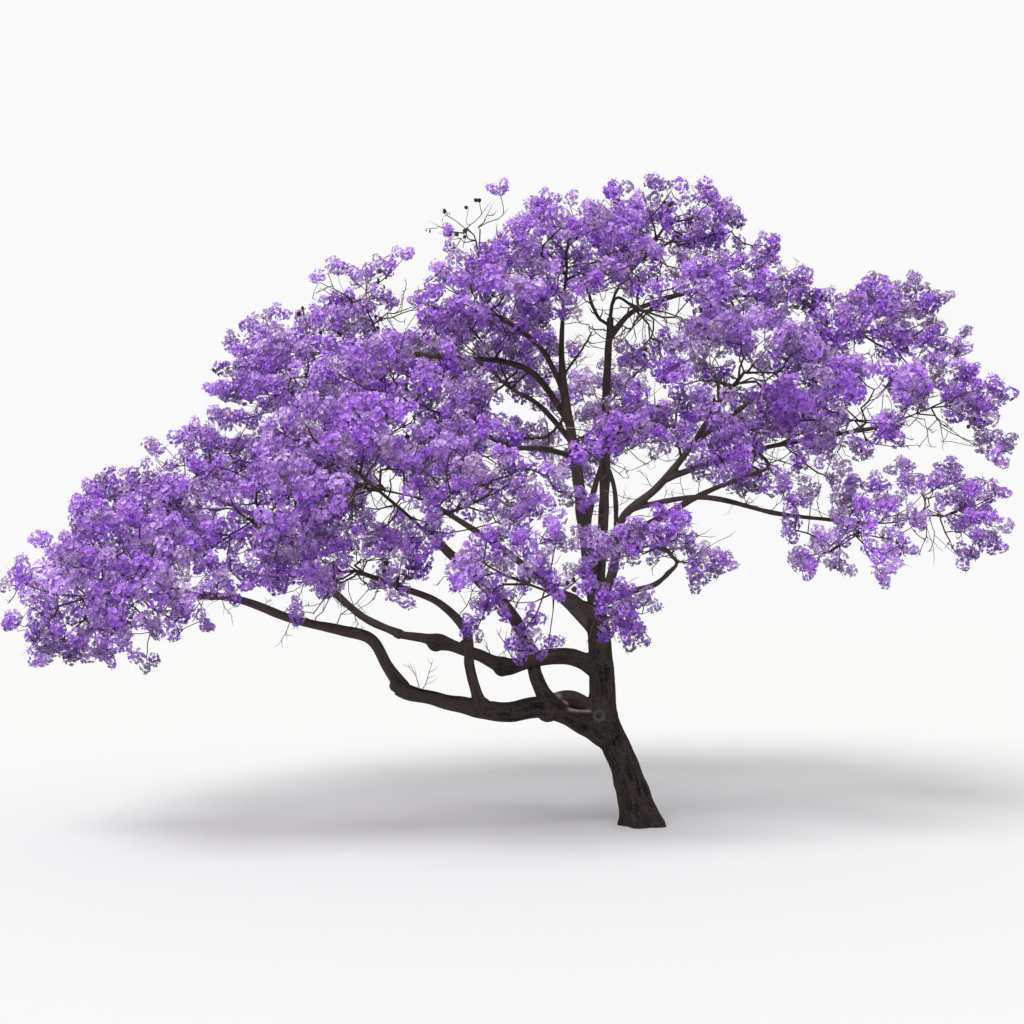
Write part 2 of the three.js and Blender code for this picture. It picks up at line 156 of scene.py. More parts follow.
class Bearing(Enum):
    """What the end of a fine twig bears."""

    FLOWERS = 1
    PODS = 2
    NOTHING = 3


@dataclass(frozen=True)
class Opening:
    """A gap in the crown, where the sight line of the main view passes the trunk's own depth."""

    across: float
    up: float
    radius: float


@dataclass(frozen=True)
class BoughPlan:
    """One bough: its parent, the share of the parent's length at its root, girth, way and knots."""

    name: str
    parent: str
    share: float
    girth: Span
    way: tuple[Point, ...]
    knots: tuple[Span, ...] = ()


@dataclass(frozen=True)
class MassPlan:
    """One mass of blossom: its bough, space and region, and how full, draped and bare it is."""

    name: str
    bough: str
    middle: Point
    half: Point
    region: Region
    tone: Tone = Tone.MIDDLE
    full: float = 1.0
    drape: float = 0.4
    pods: float = 0.02
    reach: float = 1.0
    faded: float = 0.0
    sprigs: tuple[Point, ...] = ()
    clusters: tuple[Point, ...] = ()


TRUNK_WAY: tuple[Point, ...] = (
    (0.06, 0, -0.2), (0, 0, 0), (-0.19, 0, 0.68), (-0.39, 0, 1.16), (-0.51, 0, 1.5),
    (-0.545, 0, 1.9), (-0.565, 0, 2.45), (-0.62, 0, 3.05),
)

BOUGHS = tuple(BoughPlan(*plan) for plan in (
    ("low_bough", "trunk", 0.46, (0.178, 0.072), ((-0.9, -0.13, 1.48), (-1.34, -0.3, 1.64),
        (-1.88, -0.47, 1.59), (-2.56, -0.6, 1.71), (-3.34, -0.71, 1.91)), ((0.94, 0.25),)),
    ("low_bough_end", "low_bough", 0.96, (0.08, 0.034), ((-3.44, -0.78, 2.2), (-3.66, -0.9, 2.58),
        (-4.05, -1, 2.7), (-4.62, -1.12, 2.83), (-5.4, -1.4, 3.12), (-6.5, -1.7, 3.15))),
    ("long_bough", "trunk", 0.725, (0.118, 0.056), ((-1, 0.01, 2.31), (-1.45, 0.02, 2.28),
        (-1.87, 0.05, 2.17), (-2.3, 0.1, 2.34), (-2.85, 0.17, 2.52), (-3.45, 0.3, 2.62)),
        ((0.46, 0.4), (0.78, 0.45))),
    ("long_bough_end", "long_bough", 0.97, (0.06, 0.042), ((-3.95, 0.48, 2.87), (-4.7, 0.62, 3.56),
        (-5.4, 0.85, 4.25))),
    ("left_edge_bough", "long_bough_end", 1, (0.04, 0.03), ((-6, 0.95, 4.52), (-6.55, 0.95, 4.7))),
    ("left_front_bough", "long_bough_end", 0.55, (0.044, 0.032), ((-4.7, -0.3, 3.75),
        (-4.75, -1.15, 3.98))),
    ("inner_riser", "low_bough", 0.3, (0.1, 0.048), ((-1.44, -0.06, 1.99), (-1.53, 0.42, 2.4),
        (-1.8, 0.2, 2.9), (-2.35, -0.9, 3.45), (-2.85, -1.9, 3.95))),
    ("fork_arch", "trunk", 0.51, (0.084, 0.072), ((-0.85, -0.06, 1.73), (-1.06, -0.09, 1.77),
        (-1.34, -0.14, 1.7))),
    ("outer_riser", "low_bough", 0.62, (0.072, 0.04), ((-2.36, -0.56, 2.18), (-2.4, -0.6, 2.64),
        (-2.75, -0.9, 3.05), (-3.3, -1.15, 3.28))),
    ("leader", "trunk", 1, (0.11, 0.026), ((-0.77, 0, 4.07), (-0.93, 0, 5.3), (-1.04, 0, 5.95),
        (-1.09, 0, 6.6), (-1.07, -0.06, 7.15))),
    ("right_leader", "trunk", 0.97, (0.084, 0.05), ((-0.52, 0.33, 3.7), (-0.44, 0.6, 4.85),
        (-0.4, 0.7, 6.25), (-0.34, 0.72, 7.25))),
    ("right_limb", "trunk", 0.95, (0.074, 0.034), ((-0.39, -0.23, 3.52), (-0.28, -0.45, 4.2),
        (0.18, -0.65, 4.62), (0.65, -0.78, 5.2), (0.9, -1.05, 5.62))),
    ("low_right_limb", "trunk", 0.985, (0.046, 0.03), ((-0.15, -0.42, 3.21), (0.1, -0.95, 3.3),
        (0.26, -1.7, 3.5))),
    ("front_bough", "trunk", 0.93, (0.066, 0.04), ((-0.9, -0.42, 3.08), (-1.12, -1.1, 3.18),
        (-1.25, -1.9, 3.18))),
    ("front_limb", "right_limb", 0.3, (0.04, 0.028), ((-0.45, -1.3, 4.5), (-0.62, -2.1, 4.8))),
    ("right_low_limb", "right_limb", 0.48, (0.04, 0.028), ((0.76, -0.7, 4.48), (1.84, -0.6, 4.26),
        (3, -0.45, 4.15))),
    ("far_right_limb", "right_limb", 0.66, (0.044, 0.03), ((1.28, -0.78, 5.06), (2.27, -0.65, 5.28),
        (3.2, -0.5, 5.45))),
    ("right_crest_limb", "right_limb", 0.84, (0.038, 0.026), ((1.6, -0.3, 5.9), (2.3, 0.2, 6.4),
        (2.85, 0.45, 6.85))),
    ("upper_right_limb", "right_leader", 0.93, (0.046, 0.034), ((-0.04, 0.62, 7.3), (0.45, 0.52, 7.48),
        (0.9, 0.42, 7.6))),
    ("left_limb", "leader", 0.62, (0.048, 0.032), ((-1.48, 0.1, 6.3), (-1.93, 0.2, 6.5),
        (-2.7, 0.35, 6.58), (-3.6, 0.65, 6.75))),
    ("upper_left_limb", "leader", 0.72, (0.042, 0.028), ((-1.35, -0.06, 6.6), (-1.6, -0.15, 6.82),
        (-1.95, -0.2, 7.05))),
    ("left_low_limb", "leader", 0.5, (0.044, 0.03), ((-1.33, -0.3, 5.18), (-1.8, -0.6, 5.18),
        (-2.35, -0.95, 5.4))),
    ("back_left_bough", "trunk", 0.86, (0.072, 0.038), ((-1, 0.6, 3.05), (-1.9, 1.7, 3.85),
        (-3, 2.7, 4.6))),
    ("back_bough", "leader", 0.12, (0.068, 0.038), ((-0.7, 0.9, 4), (-0.5, 2.2, 4.8), (-0.3, 3.2, 5.35))),
    ("back_right_bough", "right_leader", 0.22, (0.058, 0.036), ((0.2, 1.1, 4.2), (1.3, 2, 4.8),
        (2.2, 2.5, 5.15))),
    ("back_top_limb", "leader", 0.55, (0.044, 0.03), ((-1.4, 0.7, 5.95), (-1.8, 1.4, 6.3))),
))

MASSES = (
    MassPlan("far_left_tip", "low_bough_end", (-7.55, -1.25, 3.15), (1.1, 1.15, 1), Region.LEFT_EDGE,
        Tone.LIGHT, full=1.2, drape=1, reach=0.88, faded=-0.1,
        clusters=((-7.92, -1.2, 3.28), (-7.92, -1.1, 3), (-7.88, -1.2, 2.76), (-7.58, -1.3, 2.48),
            (-7.14, -1.4, 2.46), (-6.82, -1.5, 2.64), (-7.9, -1.2, 2.4), (-7.96, -1.1, 2.66),
            (-7.66, -1.4, 2.94)),
        sprigs=((-7.02, -1.3, 2.4), (-7.7, -1, 3.75))),
    MassPlan("far_left_front", "low_bough_end", (-6.2, -2.4, 3.45), (1.2, 1.1, 0.95), Region.LEFT_EDGE,
        Tone.LIGHT, full=1.15, drape=0.6, faded=-0.1,
        sprigs=((-6.23, -2.3, 2.4), (-5.61, -2.2, 2.83))),
    MassPlan("far_left_back", "left_edge_bough", (-7, 0.55, 4.2), (1.2, 1.25, 0.85), Region.LEFT_EDGE,
        sprigs=((-6.95, -0.1, 4.87), (-7.67, 0.2, 4.51))),
    MassPlan("left_shoulder", "left_edge_bough", (-6.2, 1.5, 5.25), (1.2, 1.25, 0.75), Region.LEFT_EDGE,
        Tone.LIGHT, faded=-0.08),
    MassPlan("left_front", "left_front_bough", (-4.95, -2.1, 4.05), (1.3, 1.2, 1), Region.LEFT_FRONT,
        Tone.LIGHT, full=1.2, faded=-0.05,
        clusters=((-5.62, -2, 3.64), (-5.2, -2.1, 3.52), (-5.1, -2.2, 3.84), (-5.5, -2, 3.92),
            (-6.18, -1.6, 3.54), (-5, -2, 3.38), (-4.84, -2.2, 3.56), (-4.74, -1.9, 3.42),
            (-5.42, -1.9, 3.38), (-5.18, -2.2, 4.36), (-4.9, -2.3, 4.46)),
        sprigs=((-5.11, -2.4, 3.24),)),
    MassPlan("mid_left_low", "outer_riser", (-3.95, -1.5, 3.5), (1.15, 1.1, 0.7), Region.LEFT_FRONT,
        full=1.2,
        sprigs=((-4.44, -1.9, 2.98), (-3.25, -1.6, 3.13))),
    MassPlan("mid_left_front", "inner_riser", (-3.7, -2.95, 4.65), (1.25, 1.15, 0.95), Region.LEFT_FRONT,
        Tone.LIGHT,
        clusters=((-2.8, -2.6, 4.06), (-2.72, -2.4, 3.9), (-3.02, -2.3, 3.84), (-3.2, -2.2, 3.98),
            (-2.92, -2.2, 3.68), (-3.58, -2.6, 4.02), (-3.38, -2.5, 3.9))),
    MassPlan("front_left_low", "inner_riser", (-2.15, -2.8, 4.3), (1.05, 1.05, 0.8), Region.LEFT_FRONT,
        full=0.25,
        clusters=((-2.5, -3.2, 4.84), (-2.26, -3.4, 4.58), (-2.1, -3, 5.06), (-1.92, -3.2, 4.74),
            (-2.34, -3.1, 4.38), (-2.12, -2.7, 4.22), (-1.62, -2.9, 4.36), (-1.36, -2.6, 4.58),
            (-1.22, -2.5, 4.4), (-1.66, -2.7, 4.12), (-0.94, -2.3, 4.32), (-1.84, -2.4, 5.04),
            (-2.6, -2.6, 4.66), (-2.42, -2.4, 5.18), (-2.04, -2.3, 4.52), (-1.44, -2.1, 4.34),
            (-2.3, -2.1, 4.98), (-2.64, -2.9, 4.28))),
    MassPlan("upper_left", "left_limb", (-4.9, 0.45, 6.15), (1.3, 1.25, 0.85), Region.UPPER_LEFT,
        Tone.BRIGHT, full=0.88),
    MassPlan("upper_left_back", "left_limb", (-5.05, 2.1, 6.95), (1.3, 1.2, 0.85), Region.UPPER_LEFT,
        Tone.BRIGHT, full=0.76),
    MassPlan("upper_left_peak", "left_limb", (-3.95, 0.9, 7.35), (1.15, 1.15, 0.85), Region.UPPER_LEFT,
        Tone.BRIGHT, full=0.7, pods=0.4,
        sprigs=((-3.39, 0.9, 8.2),),
        clusters=((-4.48, 1, 7.48), (-4.22, 1, 7.54), (-4, 0.9, 7.4), (-4.3, 0.8, 7.22), (-3.9, 0.8, 7.9),
            (-3.68, 0.9, 8.04))),
    MassPlan("centre_left", "left_low_limb", (-3.25, -1.5, 5.7), (1.25, 1.2, 0.9), Region.UPPER_LEFT,
        full=0.88, faded=0.05),
    MassPlan("top_left", "upper_left_limb", (-2.35, -0.7, 7), (1.15, 1.15, 0.85), Region.TOP, Tone.LIGHT,
        full=0.9, faded=0.12),
    MassPlan("top_left_sprig", "upper_left_limb", (-2.35, 0.6, 8.45), (0.85, 0.8, 0.75), Region.TOP,
        Tone.DARK, full=0.35, pods=0.75,
        sprigs=((-1.97, 0.5, 9.05), (-2.67, 0.2, 8.29))),
    MassPlan("top", "leader", (-1, -0.2, 7.9), (1.3, 1.25, 0.95), Region.TOP, Tone.LIGHT, full=0.92,
        clusters=((-1.2, -0.5, 7.3), (-1.02, -0.4, 7.12), (-1.3, -0.6, 7.06), (-0.82, -0.3, 7.66))),
    MassPlan("top_right", "right_leader", (0.45, 0.8, 8.55), (1.2, 1.25, 0.85), Region.TOP, full=0.85,
        clusters=((1.08, 0.4, 8.88), (1.26, 0.5, 8.8), (0.94, 0.3, 8.6), (1.94, 0.6, 8.3),
            (1.8, 0.5, 8.1))),
    MassPlan("right_top", "right_leader", (0.05, -0.9, 7), (1.2, 1.15, 0.9), Region.TOP, full=0.7,
        faded=0.1,
        clusters=((0.12, 0, 6.62), (0.32, -0.2, 6.72), (-0.06, 0.2, 6.56))),
    MassPlan("right_shoulder", "upper_right_limb", (1.65, 0.3, 7.45), (1.05, 1.15, 0.85), Region.RIGHT,
        Tone.DARK, full=0.82),
    MassPlan("right_front", "right_limb", (1.1, -2.1, 5.9), (1.15, 1.15, 0.85), Region.RIGHT, Tone.DARK,
        full=0.8,
        clusters=((0.6, -2.6, 5.36), (0.7, -2.8, 5.08), (0.82, -2.7, 4.9), (0.7, -2.3, 4.94),
            (0.98, -2.5, 4.76), (0.86, -2.2, 4.68), (1.06, -2.2, 4.58), (0.6, -2, 4.74), (1.28, -2, 5.1),
            (0.98, -2.1, 5.26), (0.36, -1.9, 5.62), (0.5, -1.8, 5.46))),
    MassPlan("right_upper", "right_crest_limb", (3.5, 0.6, 7), (1.35, 1.2, 0.8), Region.RIGHT, Tone.DARK,
        full=0.82,
        sprigs=((4.4, 0.3, 7.4), (4.1, 0.5, 7.7))),
    MassPlan("right_mid", "far_right_limb", (2.58, -1.52, 5.43), (1.2, 1.15, 0.85), Region.RIGHT,
        Tone.DARK, full=0.74),
    MassPlan("far_right", "far_right_limb", (4.2, -0.2, 5.8), (1.15, 1.25, 0.85), Region.RIGHT, Tone.DARK,
        full=0.78, reach=0.86,
        clusters=((4.58, -0.2, 6.26), (4.5, -0.1, 6.58)),
        sprigs=((4.95, -0.5, 5.2), (4.75, -0.6, 5.05), (5, 0.1, 5.35))),
    MassPlan("far_right_low", "right_low_limb", (4.25, 0.25, 4.3), (1, 1.05, 0.85), Region.RIGHT,
        full=0.25,
        clusters=((3.9, 0.2, 4.74), (4.32, 0.6, 4.74), (4.18, -0.2, 4.42), (4.62, 0.3, 4.4),
            (4.66, -0.1, 4.58), (5.14, 0.4, 4.62), (5.14, 0.8, 4.38), (4.4, 0, 4.14), (4.5, -0.4, 4.14),
            (4.74, 0.1, 3.92), (5.12, 0.5, 3.88), (4.56, 0.2, 3.72), (3.86, 0.6, 4.96),
            (4.62, 0.8, 4.98))),
    MassPlan("right_low", "right_low_limb", (2.7, -1.3, 3.95), (1.15, 1.1, 0.7), Region.RIGHT, full=0.2,
        clusters=((1.94, -1.6, 3.62), (2.46, -1.4, 3.52), (3.02, -1.2, 3.44), (1.96, -1, 4.02),
            (2.1, -1.9, 3.82), (2.44, -1.7, 3.96), (3.36, -1.5, 4.12), (3.12, -1, 4.36),
            (1.92, -1.3, 4.3), (1.76, -1.2, 4.52), (2.22, -0.8, 4.46), (2.74, -0.7, 4.6),
            (2.86, -1.6, 4.52), (3.06, -1.9, 3.78), (2.16, -1.1, 3.52))),
    MassPlan("centre_front", "front_limb", (-0.45, -2.9, 5.25), (0.9, 0.9, 0.6), Region.FRONT, full=0.15,
        faded=0.05,
        clusters=((-0.96, -2.7, 4.82), (-0.7, -3, 4.9), (-0.56, -3.2, 5.08), (-0.3, -3, 5.16),
            (-0.08, -2.7, 5), (0.22, -2.5, 5.08), (-0.28, -2.4, 5.48), (-0.38, -2.3, 5.06),
            (0.02, -2.2, 5.32), (-0.72, -2.4, 5.14))),
    MassPlan("front_low", "front_bough", (-1.8, -2.9, 3.35), (1.05, 0.95, 0.75), Region.FRONT, full=0.12,
        sprigs=((-1.34, -2, 2.54), (-1.88, -2, 3.1)),
        clusters=((-2.34, -2.9, 3.38), (-2.26, -3.1, 3.6), (-2.08, -3.3, 3.76), (-1.86, -3.4, 3.8),
            (-1.66, -3.2, 3.74), (-1.5, -3, 3.56), (-1.42, -2.8, 3.36), (-1.88, -2.9, 3.56),
            (-2.08, -2.6, 3.54), (-2, -2.8, 3.22), (-2.1, -2.7, 3), (-2.22, -2.6, 2.76),
            (-1.94, -2.5, 3.04), (-1.56, -2.4, 2.84), (-1.68, -2.3, 2.66), (-1.72, -2.2, 2.48),
            (-1.6, -2.4, 3.3), (-1.3, -2.5, 3.24), (-1.34, -2.6, 3.98), (-1.26, -2.3, 3.78),
            (-1.8, -2.3, 4.08))),
    MassPlan("front_drop", "front_bough", (-0.55, -1.75, 2.98), (0.7, 0.7, 0.6), Region.FRONT, full=0.12,
        clusters=((-0.92, -1.9, 3.4), (-0.8, -2.1, 3.22), (-0.66, -2.1, 3.08), (-0.48, -2, 2.96),
            (-0.34, -1.9, 3.02), (-0.14, -1.8, 3.06), (-0.42, -1.8, 2.74), (-0.26, -1.7, 2.66),
            (-0.56, -1.6, 2.88))),
    MassPlan("front_right_low", "low_right_limb", (0.05, -2.6, 3.72), (1.05, 0.85, 0.55), Region.FRONT,
        full=0.12,
        clusters=((-0.72, -2.4, 3.64), (-0.6, -2.6, 3.78), (-0.42, -2.9, 3.86), (-0.22, -3, 3.86),
            (0, -2.8, 3.86), (0.22, -2.6, 3.78), (0.18, -2.3, 4.06), (0.36, -2.5, 3.6),
            (0.58, -2.3, 3.56), (0.76, -2.2, 3.52), (-0.22, -2.3, 3.68), (-0.44, -2.2, 3.64),
            (0.44, -2.3, 3.42), (-0.86, -2.2, 3.84), (0.04, -2.1, 3.66))),
    MassPlan("back_left", "back_left_bough", (-4.4, 3, 5), (1.45, 1.3, 1), Region.BACK, full=0.78,
        faded=0.25),
    MassPlan("back_mid_left", "back_left_bough", (-2.5, 3.7, 5.5), (1.3, 1.25, 1), Region.BACK, full=0.78,
        faded=0.25),
    MassPlan("back_mid", "back_bough", (-0.2, 4.1, 6), (1.35, 1.3, 1), Region.BACK, full=0.76, faded=0.4,
        clusters=((-0.66, 3.3, 6.78), (-1, 3.1, 6.38), (-0.08, 3.4, 6.72), (0.32, 3.2, 6.6),
            (-0.22, 3.4, 7), (0.16, 3.3, 7.04))),
    MassPlan("back_right", "back_right_bough", (2.3, 3.5, 5.7), (1.4, 1.3, 1), Region.BACK, full=0.78,
        faded=0.25),
    MassPlan("back_top", "back_top_limb", (-2.3, 2.1, 6.9), (1.35, 1.25, 0.95), Region.BACK, full=0.76,
        faded=0.4,
        clusters=((-1.24, 1.9, 7.04), (-1.36, 1.8, 7.42), (-1.12, 1.8, 6.62), (-1.66, 1.7, 7),
            (-1.52, 1.8, 6.48), (-0.86, 1.9, 6.94), (-2.06, 1.8, 6.68), (-1.86, 1.7, 6.9))),
)

OPENINGS = tuple(Opening(*values) for values in (
    (-3.33, 7.44, 0.36), (-3.44, 7.05, 0.2), (-1.85, 8.73, 0.36), (-1.33, 8.1, 0.08), (-0.95, 7.69, 0.11),
    (-0.7, 7.16, 0.28), (-0.36, 7.3, 0.34), (-0.39, 6.74, 0.2), (-0.42, 6.39, 0.2), (-0.11, 7.05, 0.2),
    (0.49, 7.2, 0.34), (0.8, 8.6, 0.22), (2.35, 6.92, 0.17), (3.22, 6.92, 0.11), (1.55, 6.21, 0.24),
    (3.39, 5.87, 0.28), (3.89, 5.56, 0.28), (4.29, 5.51, 0.28), (3.36, 5.09, 0.2), (1.89, 7.75, 0.22),
    (4.31, 7.09, 0.34), (3.36, 7.78, 0.17), (5.18, 6.29, 0.34), (0.95, 4.7, 0.48), (1.7, 4.14, 0.59),
    (0, 4.92, 0.48), (0.56, 4.64, 0.48), (-0.56, 5.93, 0.2), (0.14, 5.96, 0.22), (-0.95, 5.51, 0.31),
    (-1.33, 5.62, 0.2), (-1.59, 5.03, 0.2), (-6.68, 4.86, 0.14), (-7, 4.92, 0.17), (-6.55, 5.54, 0.25),
    (-6.05, 6.46, 0.25), (-3.53, 4.61, 0.34), (-6.09, 2.96, 0.34), (-5.21, 2.99, 0.22), (-3.83, 3.45, 0.2),
    (-3.83, 3.21, 0.2), (-2.52, 3.66, 0.17), (4.06, 5.13, 0.34), (1.96, 5.17, 0.25), (2.55, 4.08, 0.25),
    (4.2, 4.11, 0.31), (3.85, 3.72, 0.34), (0.35, 3.31, 0.42), (-1.12, 2.89, 0.28), (0.7, 3.1, 0.48),
    (1.33, 3.87, 0.22), (-9.01, 3.87, 0.5), (-9.07, 3.1, 0.39), (2.41, 7.83, 0.22), (-1.96, 2.26, 0.2),
    (4.93, 5.9, 0.17),
))


def triangle_count(piece: Piece) -> int:
    """Counts the triangles of a piece."""
    return sum(len(face.vertices) - 2 for face in piece.data.polygons)


def unit(way: Array) -> Array:
    """Gives each way, one or a row of them, the length of one."""
    return way / np.maximum(np.linalg.norm(way, axis=-1, keepdims=True), 1e-9)


def turned(rest: Array, way: Array) -> Array:
    """Gives the shortest turn from one way to another, as a matrix that turns columns."""
    return np.array(Vector(rest).rotation_difference(Vector(way)).to_matrix())


def spun(numbers: Numbers) -> Array:
    """Draws a turn about +Z, as a matrix."""
    return np.array(Quaternion((0, 0, 1), numbers.random() * math.tau).to_matrix())


def swell(distance: Array, middle: float, width: float) -> Array:
    """Gives a smooth bump of height one round a distance."""
    return np.exp(-((distance - middle) / width) ** 2)


def patchy(places: Array, seed: int) -> Array:
    """Gives a smooth random number from 0 to 1 at each place.

    Args:
        places: Places, one in each row, measured in patches.
        seed: Picks one of many patterns.

    Returns:
        One number for each row.
    """
    cell = np.floor(places).astype(np.int64)
    part = places - cell
    part = part * part * (3 - 2 * part)
    total = np.zeros(len(places))
    for corner in np.ndindex(2, 2, 2):
        weight = np.prod(np.where(np.array(corner), part, 1 - part), axis=1)
        x, y, z = (cell + np.array(corner)).T
        mixed = (x * HASH_AXES[0]) ^ (y * HASH_AXES[1]) ^ (z * HASH_AXES[2]) ^ (seed * HASH_SEED)
        mixed = (mixed ^ (mixed >> 13)) * HASH_MIX
        total += weight * ((mixed ^ (mixed >> 16)) & 0xFFFF) / 0xFFFF
    return total


def carried_axes(places: Array) -> tuple[Array, Array, Array]:
    """Gives the way along a line at each place, and two ways across it that don't spin.

    Args:
        places: Places along the line, one in each row.

    Returns:
        Ways along, and the first and second ways across.
    """
    along = unit(np.gradient(places, axis=0))
    across = np.empty_like(along)
    start = np.eye(3)[np.argmin(np.abs(along[0]))]
    across[0] = unit(np.cross(along[0], start))
    for i in range(1, len(places)):
        across[i] = unit(across[i - 1] - along[i] * (across[i - 1] @ along[i]))
    return along, across, np.cross(along, across)


def tube(places: Array, radii: Array, sides: int, pointed: bool) -> Shape:
    """Builds a tube along a line from three-cornered faces.

    Args:
        places: Places along the line.
        radii: Radius at each place, or at each place and side.
        sides: How many sides the tube has.
        pointed: Ends the tube in a point. Otherwise both ends get a flat lid.

    Returns:
        Corners and faces.
    """
    _, across, over = carried_axes(places)
    angles = np.arange(sides) * math.tau / sides
    spokes = np.cos(angles)[:, None] * across[:, None] + np.sin(angles)[:, None] * over[:, None]
    sizes = np.broadcast_to(np.reshape(radii, (len(places), -1)), (len(places), sides))
    corners = (places[:, None] + sizes[..., None] * spokes).reshape(-1, 3)
    rings = len(places) - (1 if pointed else 0)
    corners = corners[: rings * sides]
    side = np.arange(sides)
    onward = (side + 1) % sides
    ring = np.arange(rings - 1)[:, None] * sides
    faces = [np.stack([ring + side, ring + onward, ring + sides + onward], -1).reshape(-1, 3),
             np.stack([ring + side, ring + sides + onward, ring + sides + side], -1).reshape(-1, 3)]
    last = (rings - 1) * sides
    ends = [places[-1]] if pointed else [places[-1], places[0]]
    tip = np.full(sides, rings * sides)
    faces.append(np.stack([last + side, last + onward, tip], -1))
    if not pointed:
        faces.append(np.stack([onward, side, tip + 1], -1))
    return np.vstack([corners, ends]), np.vstack(faces)


class Facets:
    """Corners and three-cornered faces of many small things, joined into one mesh."""

    def __init__(self) -> None:
        """Starts with nothing gathered."""
        self.corners: list[Array] = []
        self.faces: list[Array] = []
        self.slots: list[Array] = []
        self.count = 0

    def add(self, corners: Array, faces: Array, slot: int | Array = 0) -> None:
        """Gathers one more thing.

        Args:
            corners: Its corners, one in each row.
            faces: Three numbers of its own corners in each row.
            slot: Number of the finish of all its faces, or of each.
        """
        self.corners.append(corners)
        self.faces.append(faces + self.count)
        self.slots.append(np.broadcast_to(slot, len(faces)))
        self.count += len(corners)

    def shape(self) -> Shape:
        """Gives all corners and faces gathered so far."""
        return np.vstack(self.corners), np.vstack(self.faces)

    def triangles(self) -> int:
        """Counts the faces gathered so far."""
        return sum(len(faces) for faces in self.faces)

    def piece(self, name: str, finishes: Sequence[Material],
              smooth: bool = False) -> Piece:
        """Joins what is gathered into one object.

        Args:
            name: Name of the object.
            finishes: Materials in the order of the slots.
            smooth: Shades the faces as one rounded surface.

        Returns:
            The object, linked to the scene.
        """
        corners, faces = self.shape()
        corners, faces = corners.astype(np.float32), faces.astype(np.int32)
        mesh = bpy.data.meshes.new(name)
        mesh.vertices.add(len(corners))
        mesh.vertices.foreach_set("co", corners.ravel())
        mesh.loops.add(faces.size)
        mesh.loops.foreach_set("vertex_index", faces.ravel())
        mesh.polygons.add(len(faces))
        mesh.polygons.foreach_set("loop_start", np.arange(0, faces.size, 3, dtype=np.int32))
        mesh.polygons.foreach_set("material_index", np.concatenate(self.slots).astype(np.int32))
        mesh.polygons.foreach_set("use_smooth", np.full(len(faces), smooth))
        for finish in finishes:
            mesh.materials.append(finish)
        mesh.update(calc_edges=True)
        piece = bpy.data.objects.new(name, mesh)
        bpy.context.scene.collection.objects.link(piece)
        return piece


class NodeBench:
    """Adds and links the nodes of one material or world."""

    def __init__(self, tree: bpy.types.NodeTree) -> None:
        """Starts with the nodes that are there."""
        self.tree = tree

    def fill(self, node: bpy.types.Node, values: dict[int | str, object]) -> None:
        """Gives a node's inputs their values, or links them to their sources.

        Args:
            node: The node.
            values: Value or source of each input.
        """
        for name, value in values.items():
            if isinstance(value, Socket):
                self.tree.links.new(value, node.inputs[name])
            else:
                node.inputs[name].default_value = value

    def add(self, kind: str, output: int | str, values: dict[int | str, object],
            **settings: object) -> Socket:
        """Adds a node.

        Args:
            kind: Its kind, without the word ShaderNode.
            output: The output that is wanted.
            values: Value or source of each input.
            settings: Its own settings.

        Returns:
            The output.
        """
        node = self.tree.nodes.new(f"ShaderNode{kind}")
        for name, setting in settings.items():
            setattr(node, name, setting)
        self.fill(node, values)
        return node.outputs[output]

    def noise(self, place: Socket, scale: float, detail: float) -> Socket:
        """Gives the value of a noise, with so many patches for each metre."""
        return self.add("TexNoise", "Fac", {"Vector": place, "Scale": scale, "Detail": detail})

    def mark(self, name: str) -> Socket:
        """Reads a mark that the mesh carries at its corners."""
        return self.add("Attribute", "Fac", {}, attribute_name=name)

    def stretched(self, value: Socket, low: float, high: float) -> Socket:
        """Stretches a value from low and high to 0 and 1."""
        return self.add("MapRange", "Result", {"Value": value, "From Min": low, "From Max": high})

    def blended(self, one: Socket, other: Socket, share: float) -> Socket:
        """Mixes two values, with the given share of the other."""
        return self.add("Mix", 0, {0: share, 2: one, 3: other})

    def mixed(self, share: Socket, low: Socket | tuple[float, ...], high: Color,
              most: float = 1.0) -> Socket:
        """Mixes two colours by the share of the high one, which is at most so much."""
        scaled = self.add("Math", 0, {0: share, 1: most}, operation="MULTIPLY", use_clamp=True)
        return self.add("Mix", 2, {0: scaled, 6: low, 7: (*high, 1)}, data_type="RGBA")


class ShaderBench(NodeBench):
    """The nodes of one new material, round its shader."""

    def __init__(self, name: str) -> None:
        """Makes the material.

        Args:
            name: Its name.
        """
        self.made = bpy.data.materials.new(name)
        self.made.use_nodes = True
        super().__init__(self.made.node_tree)
        self.shader = self.tree.nodes["Principled BSDF"]


@dataclass(frozen=True)
class PlainFinish:
    """A matt finish of one plain colour."""

    name: str
    color: Color
    roughness: float = 0.9
    shine: float = 0.25
    sheen: float = 0.0

    def material(self) -> Material:
        """Makes the material."""
        bench = ShaderBench(self.name)
        bench.fill(bench.shader, {
            "Base Color": (*self.color, 1), "Roughness": self.roughness,
            "Specular IOR Level": self.shine, "Sheen Weight": self.sheen})
        return bench.made


@dataclass(frozen=True)
class PetalFinish(PlainFinish):
    """A thin soft petal."""

    roughness: float = 0.62
    shine: float = 0.2
    sheen: float = 0.15


@dataclass(frozen=True)
class TwigFinish(PlainFinish):
    """Thin dry bark of a twig or a shoot."""

    shine: float = 0.15


@dataclass(frozen=True)
class HuskFinish(PlainFinish):
    """The dark woody husk of a seed pod."""

    name: str = "pod_husk"
    color: Color = (0.035, 0.022, 0.015)
    roughness: float = 0.75
    shine: float = 0.3


